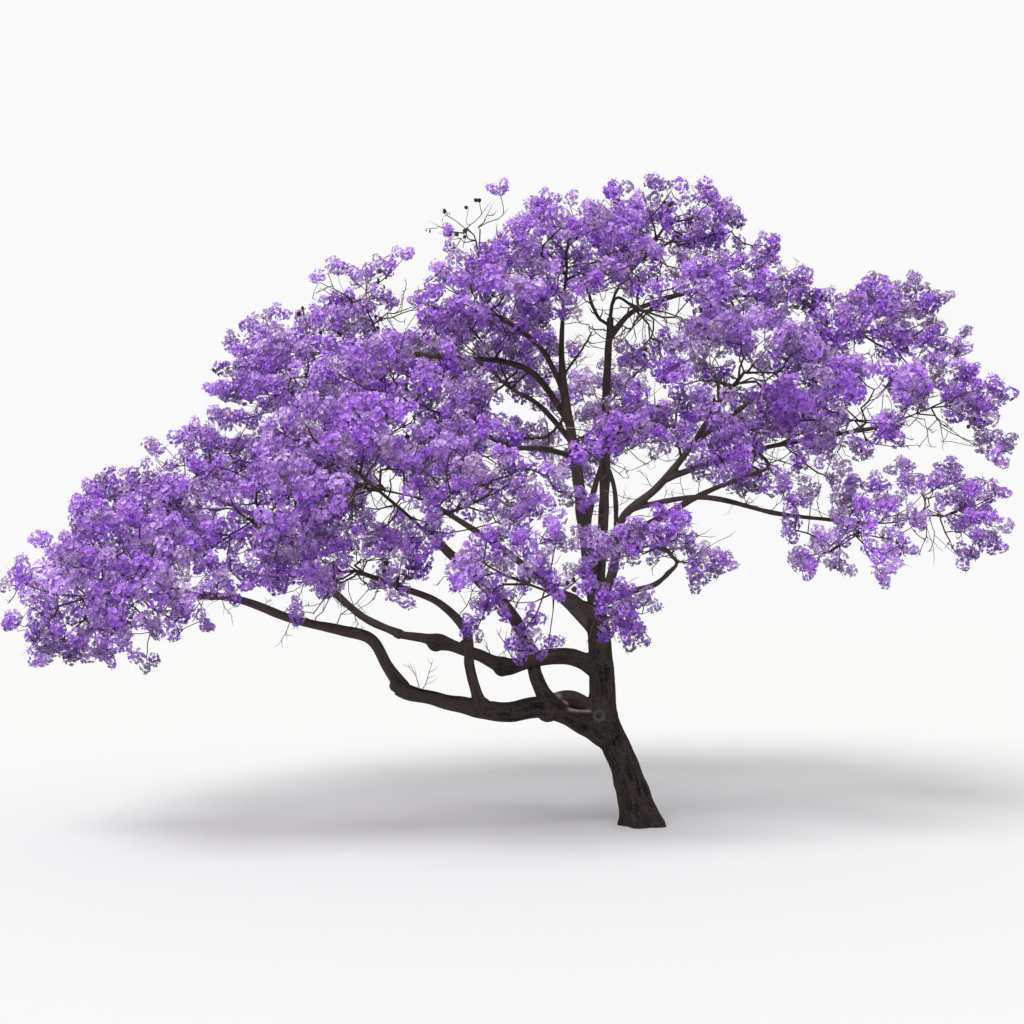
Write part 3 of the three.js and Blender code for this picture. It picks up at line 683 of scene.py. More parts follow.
@dataclass(frozen=True)
class BarkFinish:
    """Dark dry bark: grey-brown ridges, near-black furrows that are partly darker bark and partly painted
    shade in the cracks, lichen, and pale bare wood where marked.
    """

    name: str = "bark"
    # Near-black furrow colour: the cracks' own darker bark, deepened with painted shade.
    furrow: Color = (0.004, 0.003, 0.003)
    ridge: Color = (0.052, 0.038, 0.035)
    lichen: Color = (0.060, 0.054, 0.044)
    young_ridge: Color = (0.068, 0.049, 0.043)
    bare_wood: Color = (0.420, 0.310, 0.250)
    scar_wood: Color = (0.110, 0.108, 0.082)
    roughness: Span = (0.82, 0.97)
    shine: float = 0.2
    grain_noise: Span = (38, 6)
    cloud_noise: Span = (3.2, 3)
    fleck_noise: Span = (11, 4)
    grain_limits: Span = (0.35, 0.7)
    grain_share: float = 0.4
    relief_limits: Span = (0.3, 0.85)
    young_share: float = 0.75
    fleck_share: float = 0.5
    lichen_limits: Span = (0.54, 0.66)
    lichen_share: float = 0.28
    bump: Span = (0.9, 0.01)

    def material(self) -> Material:
        """Makes the material from noise over the piece and its marks.

        Returns:
            The material.
        """
        bench = ShaderBench(self.name)
        place = bench.add("TexCoord", "Object", {})
        grain = bench.noise(place, *self.grain_noise)
        cloud = bench.noise(place, *self.cloud_noise)
        flecks = bench.noise(place, *self.fleck_noise)
        rise = bench.stretched(grain, *self.grain_limits)
        relief = bench.blended(bench.mark("furrow_height"), rise, self.grain_share)
        relief = bench.stretched(relief, *self.relief_limits)
        # Low relief takes the near-black furrow colour: partly the cracks' own darker bark, partly painted
        # shade.
        color = bench.mixed(relief, (*self.furrow, 1), self.ridge)
        color = bench.mixed(bench.mark("young"), color, self.young_ridge, self.young_share)
        patches = bench.stretched(bench.blended(cloud, flecks, self.fleck_share), *self.lichen_limits)
        color = bench.mixed(patches, color, self.lichen, self.lichen_share)
        color = bench.mixed(bench.mark("bare_wood"), color, self.bare_wood)
        color = bench.mixed(bench.mark("scar_wood"), color, self.scar_wood)
        smoothest, roughest = self.roughness
        rough = bench.add("MapRange", "Result", {
            "Value": grain, "To Min": smoothest, "To Max": roughest})
        strength, distance = self.bump
        bump = bench.add("Bump", "Normal", {
            "Height": grain, "Strength": strength, "Distance": distance})
        bench.fill(bench.shader, {
            "Base Color": color, "Roughness": rough, "Normal": bump, "Specular IOR Level": self.shine})
        return bench.made


class GrowthLine:
    """A smooth centripetal line through places, read by the share of its length."""

    DIVISIONS = 200

    def __init__(self, places: Sequence[Sequence[float]]) -> None:
        """Lays the line.

        Args:
            places: Places that the line passes, at least two.
        """
        held = np.array(places, float)
        self.held = np.vstack([2 * held[0] - held[1], held, 2 * held[-1] - held[-2]])
        self.spans = len(held) - 1
        self.steps = np.linspace(0, 1, self.DIVISIONS + 1)
        hops = np.linalg.norm(np.diff(self.point(self.steps), axis=0), axis=1)
        self.travelled = np.concatenate([[0], np.cumsum(hops)])
        self.length = float(self.travelled[-1])

    def point(self, step: Array) -> Array:
        """Gives places on the line by the count of spans passed, as a share.

        Args:
            step: Shares of all spans, from 0 to 1.

        Returns:
            One place for each share.
        """
        passed = step * self.spans
        span = np.minimum(np.floor(passed).astype(int), self.spans - 1)
        part = (passed - span)[:, None]
        before, start, end, after = (self.held[span + k] for k in range(4))
        first, middle, last = (
            np.sqrt(np.linalg.norm(b - a, axis=1))[:, None]
            for a, b in ((before, start), (start, end), (end, after)))
        leave = middle * ((start - before) / first - (end - before) / (first + middle)
                          + (end - start) / middle)
        enter = middle * ((end - start) / middle - (after - start) / (middle + last)
                          + (after - end) / last)
        square = -3 * start + 3 * end - 2 * leave - enter
        cube = 2 * start - 2 * end + leave + enter
        return start + leave * part + square * part ** 2 + cube * part ** 3

    def at(self, share: float | Array) -> Array:
        """Gives the place, or places, at a share of the length.

        Args:
            share: One share, or a row of them.

        Returns:
            One place, or one for each share.
        """
        shares = np.atleast_1d(np.asarray(share, float))
        found = self.point(np.interp(shares * self.length, self.travelled, self.steps))
        return found if np.ndim(share) else found[0]

    def end_way(self) -> Array:
        """Gives the way of the line at its end."""
        return unit(self.at(1.0) - self.at(0.9995))


@dataclass
class Limb:
    """A tapering limb along a line, with a collar at its root and its knots."""

    line: GrowthLine
    girth: Span
    buried: float = 0.0
    knots: tuple[Span, ...] = ()
    collar_swell: float = 0.3
    taper_power: float = 0.8
    knot_reach: float = 0.13

    def radius(self, share: Array, angle: Array | float = 0.0) -> Array:
        """Gives the radius at shares of the length.

        Args:
            share: Shares of the length.
            angle: Angle round the limb, which only the trunk's flare heeds.

        Returns:
            One radius for each share.
        """
        root, tip = self.girth
        share = np.asarray(share, float)
        taper = tip + (root - tip) * (1 - share) ** self.taper_power
        swelling = np.zeros_like(share)
        if self.buried:
            beyond = np.maximum(0, share * self.line.length - self.buried)
            swelling = self.collar_swell * np.exp(-beyond / root)
        for place, swell in self.knots:
            swelling = swelling + swell * np.exp(
                -((share - place) * self.line.length / self.knot_reach) ** 2)
        return taper * (1 + swelling)

    def samples(self, spacing: float) -> tuple[Array, Array]:
        """Gives places along the limb, so far apart, and the radius at each."""
        share = np.linspace(0, 1, math.ceil(self.line.length / spacing) + 1)
        return self.line.at(share), self.radius(share)


@dataclass
class Trunk(Limb):
    """The trunk: a taper to the fork, with a lobed flare at the foot."""

    below_ground: float = 0.2
    flare_swell: float = 0.42
    flare_height: float = 0.24
    flare_lobes: int = 5
    flare_lobe_depth: float = 0.16

    def radius(self, share: Array, angle: Array | float = 0.0) -> Array:
        """Gives the radius at shares of the length and angles round the trunk.

        Args:
            share: Shares of the length.
            angle: Angles round the trunk.

        Returns:
            One radius for each.
        """
        foot, fork = self.girth
        above = np.maximum(0, np.asarray(share, float) * self.line.length - self.below_ground)
        taper = foot + (fork - foot) * above / self.line.length
        lobes = self.flare_swell + self.flare_lobe_depth * np.cos(self.flare_lobes * angle)
        return taper * (1 + lobes * np.exp(-above / self.flare_height))


@dataclass
class Framework:
    """Trunk and boughs as lines with their girth, as the source grows them."""

    trunk_girth: Span = (0.228, 0.140)
    sample_spacing: float = 0.09
    limbs: dict[str, Limb] = field(default_factory=dict)

    def grow(self) -> dict[str, Limb]:
        """Grows the trunk and then each bough from its parent.

        Returns:
            The limbs by name.
        """
        self.limbs["trunk"] = Trunk(GrowthLine(TRUNK_WAY), self.trunk_girth)
        for plan in BOUGHS:
            parent = self.limbs[plan.parent]
            line = GrowthLine([parent.line.at(plan.share), *plan.way])
            buried = float(parent.radius(np.array(plan.share))) if plan.share < 1 else 0.0
            self.limbs[plan.name] = Limb(line, plan.girth, buried, plan.knots)
        return self.limbs

    def samples(self) -> tuple[Array, Array]:
        """Gives places along every limb and the radius at each."""
        both = [limb.samples(self.sample_spacing) for limb in self.limbs.values()]
        return np.vstack([places for places, _ in both]), np.concatenate([radii for _, radii in both])


@dataclass
class BarkSkin:
    """One skin of furrowed bark over the trunk and every bough."""

    voxel: float = 0.013
    station: float = 0.05
    fewest_stations: int = 6
    side: float = 0.03
    fewest_sides: int = 8
    lump_depth: float = 0.13
    lump_size: float = 0.22
    burls: tuple[tuple[Point, float], ...] = (
        ((-1.3, -0.28, 1.585), 0.16), ((-3.08, -0.68, 1.85), 0.075), ((-2.86, 0.17, 2.495), 0.13),
        ((-1.93, 0.05, 2.15), 0.125), ((-2.42, -0.6, 2.5), 0.078), ((-2.2, -0.5, 1.67), 0.125),
        ((-1.5, 0.4, 2.36), 0.095), ((-0.62, -0.06, 2.95), 0.14), ((-3.35, -0.72, 1.95), 0.08))
    burl_way: Point = (1.0, 0.25, 0.1)
    burl_trim: float = 0.2
    burl_rings: int = 8
    burl_sides: int = 10
    furrow_width: float = 0.042
    furrow_length: float = 0.24
    furrow_depth: float = 0.02
    depth_by_radius: float = 0.11
    furrow_pattern: int = 3
    fine_scale: Point = (2.1, 2.1, 1.7)
    fine_share: float = 0.28
    level_height: float = 0.62
    finding_step: float = 0.025
    smoothing: int = 5
    old_radius: float = 0.13
    young_rise: float = 1.8
    young_by_height: float = 1.7
    young_floor: float = 0.15
    young_limits: Span = (0.05, 1.2)
    triangles: int = 112_000
    scar: Point = (-0.596, -0.2, 1.507)
    scar_radius: float = 0.07
    scar_rise: float = 0.022
    scar_wood: float = 0.85
    hollow: tuple[Point, Point] = ((-0.97, -0.24, 1.65), (-0.78, -0.18, 1.63))
    hollow_radius: float = 0.045
    hollow_depth: float = 0.03
    bare_streaks: tuple[tuple[Point, Point], ...] = (
        ((-1.18, -0.15, 1.81), (-1.04, -0.27, 1.69)), ((-1.0, -0.32, 1.6), (-0.73, -0.18, 1.58)))
    streak_radius: float = 0.026
    streak_wood: float = 0.9

    def build(self, limbs: dict[str, Limb], finish: BarkFinish) -> Piece:
        """Builds and dresses the skin.

        Args:
            limbs: The limbs by name.
            finish: Finish of the bark.

        Returns:
            The object.
        """
        gathered = Facets()
        for seed, limb in enumerate(limbs.values()):
            gathered.add(*self.rough_limb(limb, seed))
        for centre, radius in self.burls:
            gathered.add(*self.burl(np.array(centre), radius))
        piece = gathered.piece("bark_of_trunk_and_boughs", [finish.material()], smooth=True)
        self.unite(piece)
        self.furrow(piece, limbs)
        self.thin_out(piece)
        self.cut_at_ground(piece)
        return piece

    def rough_limb(self, limb: Limb, seed: int) -> Shape:
        """Builds a limb as a closed tube with lumps.

        Args:
            limb: The limb.
            seed: Picks the pattern of its lumps.

        Returns:
            Corners and faces.
        """
        stations = max(self.fewest_stations, math.ceil(limb.line.length / self.station))
        share = np.linspace(0, 1, stations + 1)
        places = limb.line.at(share)
        widest = float(limb.radius(share).max())
        sides = max(self.fewest_sides, round(math.tau * widest / self.side))
        angles = np.arange(sides) * math.tau / sides
        radii = limb.radius(share[:, None], angles[None, :]) + np.zeros((len(share), sides))
        around = np.stack(np.broadcast_arrays(
            np.cos(angles)[None] * widest, np.sin(angles)[None] * widest,
            (share * limb.line.length)[:, None]), -1)
        lumps = patchy(around.reshape(-1, 3) / self.lump_size, seed).reshape(radii.shape) - 0.5
        return tube(places, radii * (1 + 2 * self.lump_depth * lumps), sides, pointed=False)

    def burl(self, centre: Array, radius: float) -> Shape:
        """Builds a round lump for the skin to take in.

        Args:
            centre: Its middle.
            radius: Its radius.

        Returns:
            Corners and faces.
        """
        turn = np.linspace(self.burl_trim, math.pi - self.burl_trim, self.burl_rings)
        places = centre - np.outer(np.cos(turn) * radius, unit(np.array(self.burl_way)))
        return tube(places, np.sin(turn) * radius, self.burl_sides, pointed=False)

    def unite(self, piece: Piece) -> None:
        """Melts the tubes into one closed skin and softens the seams.

        Args:
            piece: The tubes.
        """
        remesh = piece.modifiers.new("unite", "REMESH")
        remesh.mode = "VOXEL"
        remesh.voxel_size = self.voxel
        soften = piece.modifiers.new("soften", "SMOOTH")
        soften.factor = 0.5
        soften.iterations = self.smoothing
        self.apply(piece)

    def thin_out(self, piece: Piece) -> None:
        """Takes faces out where the bark is plain.

        Args:
            piece: The skin.
        """
        thin = piece.modifiers.new("thin_out", "DECIMATE")
        thin.ratio = min(1.0, self.triangles / triangle_count(piece))
        self.apply(piece)

    @staticmethod
    def apply(piece: Piece) -> None:
        """Makes the modifiers part of the mesh.

        Args:
            piece: The piece that has them.
        """
        graph = bpy.context.evaluated_depsgraph_get()
        done = bpy.data.meshes.new_from_object(
            piece.evaluated_get(graph), preserve_all_data_layers=True, depsgraph=graph)
        piece.modifiers.clear()
        old, piece.data = piece.data, done
        bpy.data.meshes.remove(old)

    def furrow(self, piece: Piece, limbs: dict[str, Limb]) -> None:
        """Raises ridges along the limbs and the pruning scar's ring, sinks the hollow under the fork's
        arch, and marks them for the finish, with the hollow marked dark as painted shade.

        Args:
            piece: The united skin.
            limbs: The limbs by name.
        """
        mesh = piece.data
        corners = self.read(mesh, "co").astype(float)
        normals = self.read(mesh, "normal")
        places, across, over, radii, travelled = self.limb_coordinates(limbs)
        finder = KDTree(len(places))
        for number, place in enumerate(places):
            finder.insert(place, number)
        finder.balance()
        nearest = np.array([finder.find(corner)[1] for corner in corners])
        away = corners - places[nearest]
        local = np.stack([
            np.einsum("ij,ij->i", away, across[nearest]) / self.furrow_width,
            np.einsum("ij,ij->i", away, over[nearest]) / self.furrow_width,
            travelled[nearest] / self.furrow_length], -1)
        ridge = 1 - np.abs(2 * patchy(local, self.furrow_pattern) - 1)
        fine = 1 - np.abs(2 * patchy(local * self.fine_scale, self.furrow_pattern + 1) - 1)
        height = np.clip((1 - self.fine_share) * ridge + self.fine_share * fine, 0, 1)
        depth = np.minimum(self.furrow_depth, self.depth_by_radius * radii[nearest])
        moved = corners + normals * (depth * (height - self.level_height))[:, None]
        ring, scar = self.scar_marks(corners)
        hollow, bare = self.hollow_marks(corners)
        moved += normals * (ring * self.scar_rise - hollow * self.hollow_depth)[:, None]
        mesh.vertices.foreach_set("co", moved.astype(np.float32).ravel())
        # Painted shade: the hollow under the fork's arch takes the near-black furrow colour and no young
        # bark.
        height *= 1 - hollow
        young = np.clip((self.old_radius - radii[nearest]) / self.old_radius * self.young_rise, 0, 1)
        young *= np.clip(self.young_by_height * height - self.young_floor, *self.young_limits)
        young *= 1 - hollow
        marks = {"furrow_height": height, "bare_wood": bare, "scar_wood": scar, "young": young}
        for name, values in marks.items():
            mark = mesh.attributes.new(name, "FLOAT", "POINT")
            mark.data.foreach_set("value", values.astype(np.float32))
        mesh.update()

    @staticmethod
    def read(mesh: bpy.types.Mesh, what: str) -> Array:
        """Reads a place or a way from every corner of a mesh.

        Args:
            mesh: The mesh.
            what: Name of what is read.

        Returns:
            One row for each corner.
        """
        found = np.empty(len(mesh.vertices) * 3, np.float32)
        mesh.vertices.foreach_get(what, found)
        return found.reshape(-1, 3)

    def scar_marks(self, corners: Array) -> tuple[Array, Array]:
        """Gives the height of the pruning scar's ring, from -1 to 1, and how much it shows its wood."""
        out = np.linalg.norm(corners - self.scar, axis=1) / self.scar_radius
        return swell(out, 1, 0.3) - swell(out, 0, 0.5), self.scar_wood * swell(out, 0.9, 0.34)

    def hollow_marks(self, corners: Array) -> tuple[Array, Array]:
        """Marks the hollow under the fork's arch and the streaks of bare wood beside it.

        Args:
            corners: Corners of the skin.

        Returns:
            Depth of the hollow and bareness of the wood at each corner, from 0 to 1.
        """
        start, end = np.array(self.hollow)
        hollow = swell(distance_to_line(corners, start, end), 0, self.hollow_radius)
        bare = np.zeros(len(corners))
        for streak in self.bare_streaks:
            start, end = np.array(streak)
            bare = np.maximum(bare, swell(distance_to_line(corners, start, end), 0, self.streak_radius))
        return hollow, self.streak_wood * bare

    def limb_coordinates(self, limbs: dict[str, Limb]) -> tuple[Array, ...]:
        """Gives what the furrows follow along every limb.

        Args:
            limbs: The limbs by name.

        Returns:
            Places along them, two ways across at each, the radius, and the length passed.
        """
        rows: list[list[Array]] = []
        start = 0.0
        for limb in limbs.values():
            share = np.linspace(0, 1, math.ceil(limb.line.length / self.finding_step) + 1)
            places = limb.line.at(share)
            _, across, over = carried_axes(places)
            rows.append([places, across, over, limb.radius(share), start + share * limb.line.length])
            start += limb.line.length + 1
        return tuple(np.concatenate(column) for column in zip(*rows))

    @staticmethod
    def cut_at_ground(piece: Piece) -> None:
        """Cuts the foot off flat at ground level.

        Args:
            piece: The skin.
        """
        work = bmesh.new()
        work.from_mesh(piece.data)
        parts = [*work.verts, *work.edges, *work.faces]
        cut = bmesh.ops.bisect_plane(
            work, geom=parts, plane_co=(0, 0, 0), plane_no=UP, clear_inner=True)
        rim = [part for part in cut["geom_cut"] if isinstance(part, bmesh.types.BMEdge)]
        bmesh.ops.edgeloop_fill(work, edges=rim)
        work.to_mesh(piece.data)
        work.free()


@dataclass
class Mass:
    """A mass of blossom in its own space, with its stem, hub and sprays."""

    plan: MassPlan
    seed: int
    stem_start: Array | None = None
    stem_way: Array | None = None
    stem_radius: float = 0.0
    hub: Array | None = None
    twigs: list[tuple[Array, Array]] = field(default_factory=list)
    sprays: list[tuple[int, float, Array]] = field(default_factory=list)

    @property
    def middle(self) -> Array:
        """Middle of the mass's space."""
        return np.array(self.plan.middle)

    @property
    def half(self) -> Array:
        """Half the width, depth and height of the mass's space."""
        return np.array(self.plan.half)

    @property
    def spray_size(self) -> float:
        """Length of a full spray."""
        return 0.9 * float(self.half.mean())


@dataclass
class GrowingRule:
    """The source's rule for the masses: stems, hubs, twigs through the hub's faces, and sprays."""

    seam: float = 0.0003
    hub_back: float = 0.15
    stem_shares: dict[int, Span] = field(
        default_factory=lambda: {1: (0, 0.8), 2: (0.5, 0.44), 3: (0.52, 0.38)})
    stem_swing: float = 0.42
    twig_radius: float = 0.027
    twig_reach: float = 0.52
    twig_sides: int = 3
    twig_faces: tuple[Point, ...] = (
        (-1, -1, -1), (1, -1, -1), (-1, 1, -1), (-1, -1, 1), (1, 1, -1), (1, -1, 1), (-1, 1, 1))
    sprays_by_forwardness: tuple[int, ...] = (1, 2, 3)
    spray_roots: tuple[float, ...] = (0.8, 0.58, 0.4)
    spray_leans: tuple[float, ...] = (0.3, 0.6, 1.0, 1.5, 2.2)
    spray_slimness: float = 0.7
    spray_belly: float = 0.5
    spray_clearance: float = 0.5
    spray_free_part: float = 0.4
    spray_checks: int = 13
    shorter_tries: tuple[float, ...] = (1, 0.88, 0.76, 0.64, 0.52)
    space_margin: float = 0.045
    limb_margin: float = 0.045
    masses: list[Mass] = field(default_factory=list)

    def place(self, framework: Framework) -> list[Mass]:
        """Places every mass's stem and hub, and grows its twigs and sprays.

        Args:
            framework: The grown limbs.

        Returns:
            The masses.
        """
        self.limb_places, self.limb_radii = framework.samples()
        self.masses = [Mass(plan, number + 1) for number, plan in enumerate(MASSES)]
        self.middles = np.array([mass.middle for mass in self.masses])
        self.halves = np.array([mass.half for mass in self.masses])
        for bough in dict.fromkeys(plan.bough for plan in MASSES):
            sharing = [mass for mass in self.masses if mass.plan.bough == bough]
            self.place_stems(framework.limbs[bough], sharing)
        for mass in self.masses:
            back = unit(mass.stem_start - mass.middle)
            mass.hub = mass.middle + back * mass.half * self.hub_back
            self.grow_sprays(mass)
        return self.masses

    def place_stems(self, limb: Limb, sharing: list[Mass]) -> None:
        """Sets the stems that share a bough's end side by side on it.

        Args:
            limb: The bough.
            sharing: The masses that grow on its end.
        """
        tip, along = limb.line.at(1.0), limb.line.end_way()
        end_radius = float(limb.radius(np.array(1.0)))
        offset, girth = (share * end_radius for share in self.stem_shares[len(sharing)])
        aside = sharing[0].middle - tip
        side = unit(aside - along * (aside @ along))
        across = np.cross(along, side)
        angle_of = {mass.seed: math.atan2((mass.middle - tip) @ across, (mass.middle - tip) @ side)
                    for mass in sharing}
        ordered = sorted(sharing, key=lambda mass: angle_of[mass.seed])
        first = angle_of[ordered[0].seed]
        for number, mass in enumerate(ordered):
            angle = first + number * math.tau / len(ordered)
            spoke = side * math.cos(angle) + across * math.sin(angle)
            mass.stem_way = along
            mass.stem_radius = girth
            mass.stem_start = tip + spoke * offset + along * self.seam

    def outwardness(self, places: Array) -> Array:
        """Gives how far out each place is in each mass, as a share of the mass's half sizes."""
        return np.linalg.norm((places[:, None] - self.middles) / self.halves, axis=2)

    def in_own_space(self, places: Array, mass: Mass, reach: float = 1.0,
                     margin: float | None = None) -> Array:
        """Tells which places belong to a mass's own space and to no neighbour's.

        Args:
            places: Places, one in each row.
            mass: The mass.
            reach: Outwardness that still counts as inside.
            margin: How much further out a place has to be in every neighbour.

        Returns:
            True or false for each place.
        """
        out = self.outwardness(places)
        own = out[:, mass.seed - 1]
        others = np.delete(out, mass.seed - 1, axis=1).min(axis=1)
        return (own <= reach) & (others > own + (self.space_margin if margin is None else margin))

    def clear_of_limbs(self, start: Array, end: Array, half_width: float) -> bool:
        """Tells whether a line of some half width stays clear of every limb."""
        near = distance_to_line(self.limb_places, start, end)
        return bool(np.all(near > self.limb_radii + half_width + self.limb_margin))

    def grow_sprays(self, mass: Mass) -> None:
        """Grows a mass's twigs through its hub's faces, and the sprays on their sides.

        Args:
            mass: The mass, with its hub in place.
        """
        face = unit(np.ones(3))
        back = unit(mass.stem_start - mass.hub)
        spin = Quaternion(Vector(back), first_number(mass.seed) * math.tau)
        turn = np.array((spin @ Vector(face).rotation_difference(Vector(back))).to_matrix())
        grown: list[tuple[Array, Array]] = []
        for signs in self.twig_faces:
            outward = turn @ unit(np.array(signs, float))
            end = mass.hub + outward * mass.half * self.twig_reach
            outward = unit(end - mass.hub)
            clear = self.clear_of_limbs(mass.hub, end, self.twig_radius)
            if not (clear and self.in_own_space(end[None], mass)[0]):
                continue
            onward = sum(sign < 0 for sign in signs)
            sides = turned(AHEAD, outward)
            found = []
            for number in range(self.sprays_by_forwardness[onward - 1]):
                angle = (number + 0.5) * math.tau / self.twig_sides
                aside = sides @ np.array([math.sin(angle), 0, math.cos(angle)])
                share = self.spray_roots[number]
                root = mass.hub + (end - mass.hub) * share
                tip = self.roomiest_spray(root, outward, aside, mass, grown)
                if tip is not None:
                    grown.append((root + (tip - root) * self.spray_free_part, tip))
                    found.append((len(mass.twigs), share, tip))
            if found:
                mass.twigs.append((mass.hub, end))
                mass.sprays.extend(found)

    def roomiest_spray(self, root: Array, outward: Array, aside: Array, mass: Mass,
                       grown: list[tuple[Array, Array]]) -> Array | None:
        """Finds the spray with most room: full length first, then shorter.

        Args:
            root: Where the spray leaves its twig.
            outward: Way of the twig.
            aside: Way that the twig's side faces.
            mass: The mass that the spray belongs to.
            grown: Free parts of the sprays grown before it.

        Returns:
            The spray's tip, or None where no length fits.
        """
        for share in self.shorter_tries:
            length = mass.spray_size * share
            clearance = length * self.spray_slimness * self.spray_clearance
            best_room, best_tip = -1.0, None
            for lean in self.spray_leans:
                way = unit(outward + aside * lean)
                tip = root + way * length
                start = root + (tip - root) * self.spray_free_part
                line = start + (tip - start) * np.linspace(0, 1, self.spray_checks)[:, None]
                room = min([length, *(float(distance_to_line(line, *other).min()) for other in grown)])
                if room < clearance or room <= best_room:
                    continue
                if self.spray_fits(root, tip, way, length, mass):
                    best_room, best_tip = room, tip
            if best_tip is not None:
                return best_tip
        return None

    def spray_fits(self, root: Array, tip: Array, way: Array, length: float,
                   mass: Mass) -> bool:
        """Tells whether a spray keeps to its mass's own space and clear of every limb.

        Args:
            root: Foot of the spray.
            tip: Its tip.
            way: Way from one to the other.
            length: Distance between them.
            mass: The spray's mass.

        Returns:
            True where it fits.
        """
        half = length * self.spray_slimness / 2
        turn = turned(AHEAD, way)
        belly = root + way * length * self.spray_belly
        corners = [tip, *(belly + turn[:, axis] * half * sign for axis in (0, 2) for sign in (1, -1))]
        own = bool(self.in_own_space(np.array(corners), mass).all())
        return own and self.clear_of_limbs(root, tip, half)


def first_number(seed: int) -> float:
    """Gives the first of the repeatable numbers from 0 to 1 that the source takes from a seed.

    Args:
        seed: The seed.

    Returns:
        The number.
    """
    mask = 0xFFFFFFFF
    step = 0x6D2B79F5
    state = (seed + step) & mask
    mixed = ((state ^ (state >> 15)) * (state | 1)) & mask
    mixed ^= (mixed + (((mixed ^ (mixed >> 7)) * (mixed | 61)) & mask)) & mask
    return (mixed ^ (mixed >> 14)) / (mask + 1)


def distance_to_line(places: Array, start: Array, end: Array) -> Array:
    """Gives how far each place is from a straight line between two places.

    Args:
        places: Places, one in each row.
        start: One end of the line.
        end: The other end.

    Returns:
        One distance for each row.
    """
    along = end - start
    share = np.clip((places - start) @ along / max(float(along @ along), 1e-12), 0, 1)
    return np.linalg.norm(places - start - share[:, None] * along, axis=1)


def crooked(start: Array, end: Array, steps: int, numbers: Numbers) -> list[Array]:
    """Gives places along a crooked twig.

    Args:
        start: Where it starts, which isn't among the places.
        end: Where it ends.
        steps: How many places it has.
        numbers: Source of random numbers.

    Returns:
        The places, in growing order.
    """
    length = float(np.linalg.norm(end - start))
    sway = unit(numbers.normal(0, 1, 3)) * length * TWIG_CROOK
    places = []
    for step in range(1, steps + 1):
        share = step / steps
        bow = sway * math.sin(share * math.pi) - UP * length * TWIG_SAG * math.sin(share * math.pi)
        kink = numbers.normal(0, TWIG_KINK, 3) * length if step < steps else 0
        places.append(start + (end - start) * share + bow + kink)
    return places


class TwigGraph:
    """Twigs of one mass as places, each with the place that it grows from."""

    def __init__(self, root: Array) -> None:
        """Starts at the stem's root.

        Args:
            root: Place of the root.
        """
        self.places = [root]
        self.parents = [-1]
        self.reach = [0.0]

    def grow(self, parent: int, places: Sequence[Array]) -> int:
        """Adds places one after another.

        Args:
            parent: Number of the place that the first one grows from.
            places: The places, in growing order.

        Returns:
            Number of the last place.
        """
        for place in places:
            self.reach.append(self.reach[parent] + float(np.linalg.norm(place - self.places[parent])))
            self.places.append(place)
            self.parents.append(parent)
            parent = len(self.places) - 1
        return parent

    def nearest(self, place: Array, thrift: float) -> int:
        """Finds where a twig to a place best starts.

        Args:
            place: The place to reach.
            thrift: How much the way back to the root counts beside the new twig's length.

        Returns:
            Number of the place to start from.
        """
        table = np.array(self.places)
        cost = np.linalg.norm(table - place, axis=1) + thrift * np.array(self.reach)
        return int(np.argmin(cost))

    def loads(self) -> Array:
        """Counts the twig ends that each place carries.

        Returns:
            One count for each place.
        """
        carried = np.zeros(len(self.places))
        for number in range(len(self.places) - 1, 0, -1):
            carried[number] = max(carried[number], 1)
            carried[self.parents[number]] += carried[number]
        return carried

    def chains(self, loads: Array) -> list[list[int]]:
        """Splits the twigs into lines that each follow the heaviest way onward.

        Args:
            loads: What each place carries.

        Returns:
            Numbers of the places along each line.
        """
        heirs: dict[int, int] = {}
        for number in range(1, len(self.places)):
            parent = self.parents[number]
            if parent not in heirs or loads[number] > loads[heirs[parent]]:
                heirs[parent] = number
        lines = []
        for number in range(len(self.places)):
            parent = self.parents[number]
            if parent >= 0 and heirs[parent] == number:
                continue
            line = [number] if parent < 0 else [parent, number]
            while line[-1] in heirs:
                line.append(heirs[line[-1]])
            if len(line) > 1:
                lines.append(line)
        return lines


@dataclass
class Tuft:
    """The end of a fine twig: its place, way, step on the scale of tints, freshness, load and size."""

    place: Array
    way: Array
    tint: float
    freshness: Freshness
    bears: Bearing
    size: float = 1.0


@dataclass(frozen=True)
class Clump:
    """A clump: its middle, what it bears, and the count, spread and size of its tufts. None is drawn."""

    centre: Array
    bears: Bearing = Bearing.FLOWERS
    tufts: int | None = None
    spread: float = 1.0
    size: float = 1.0


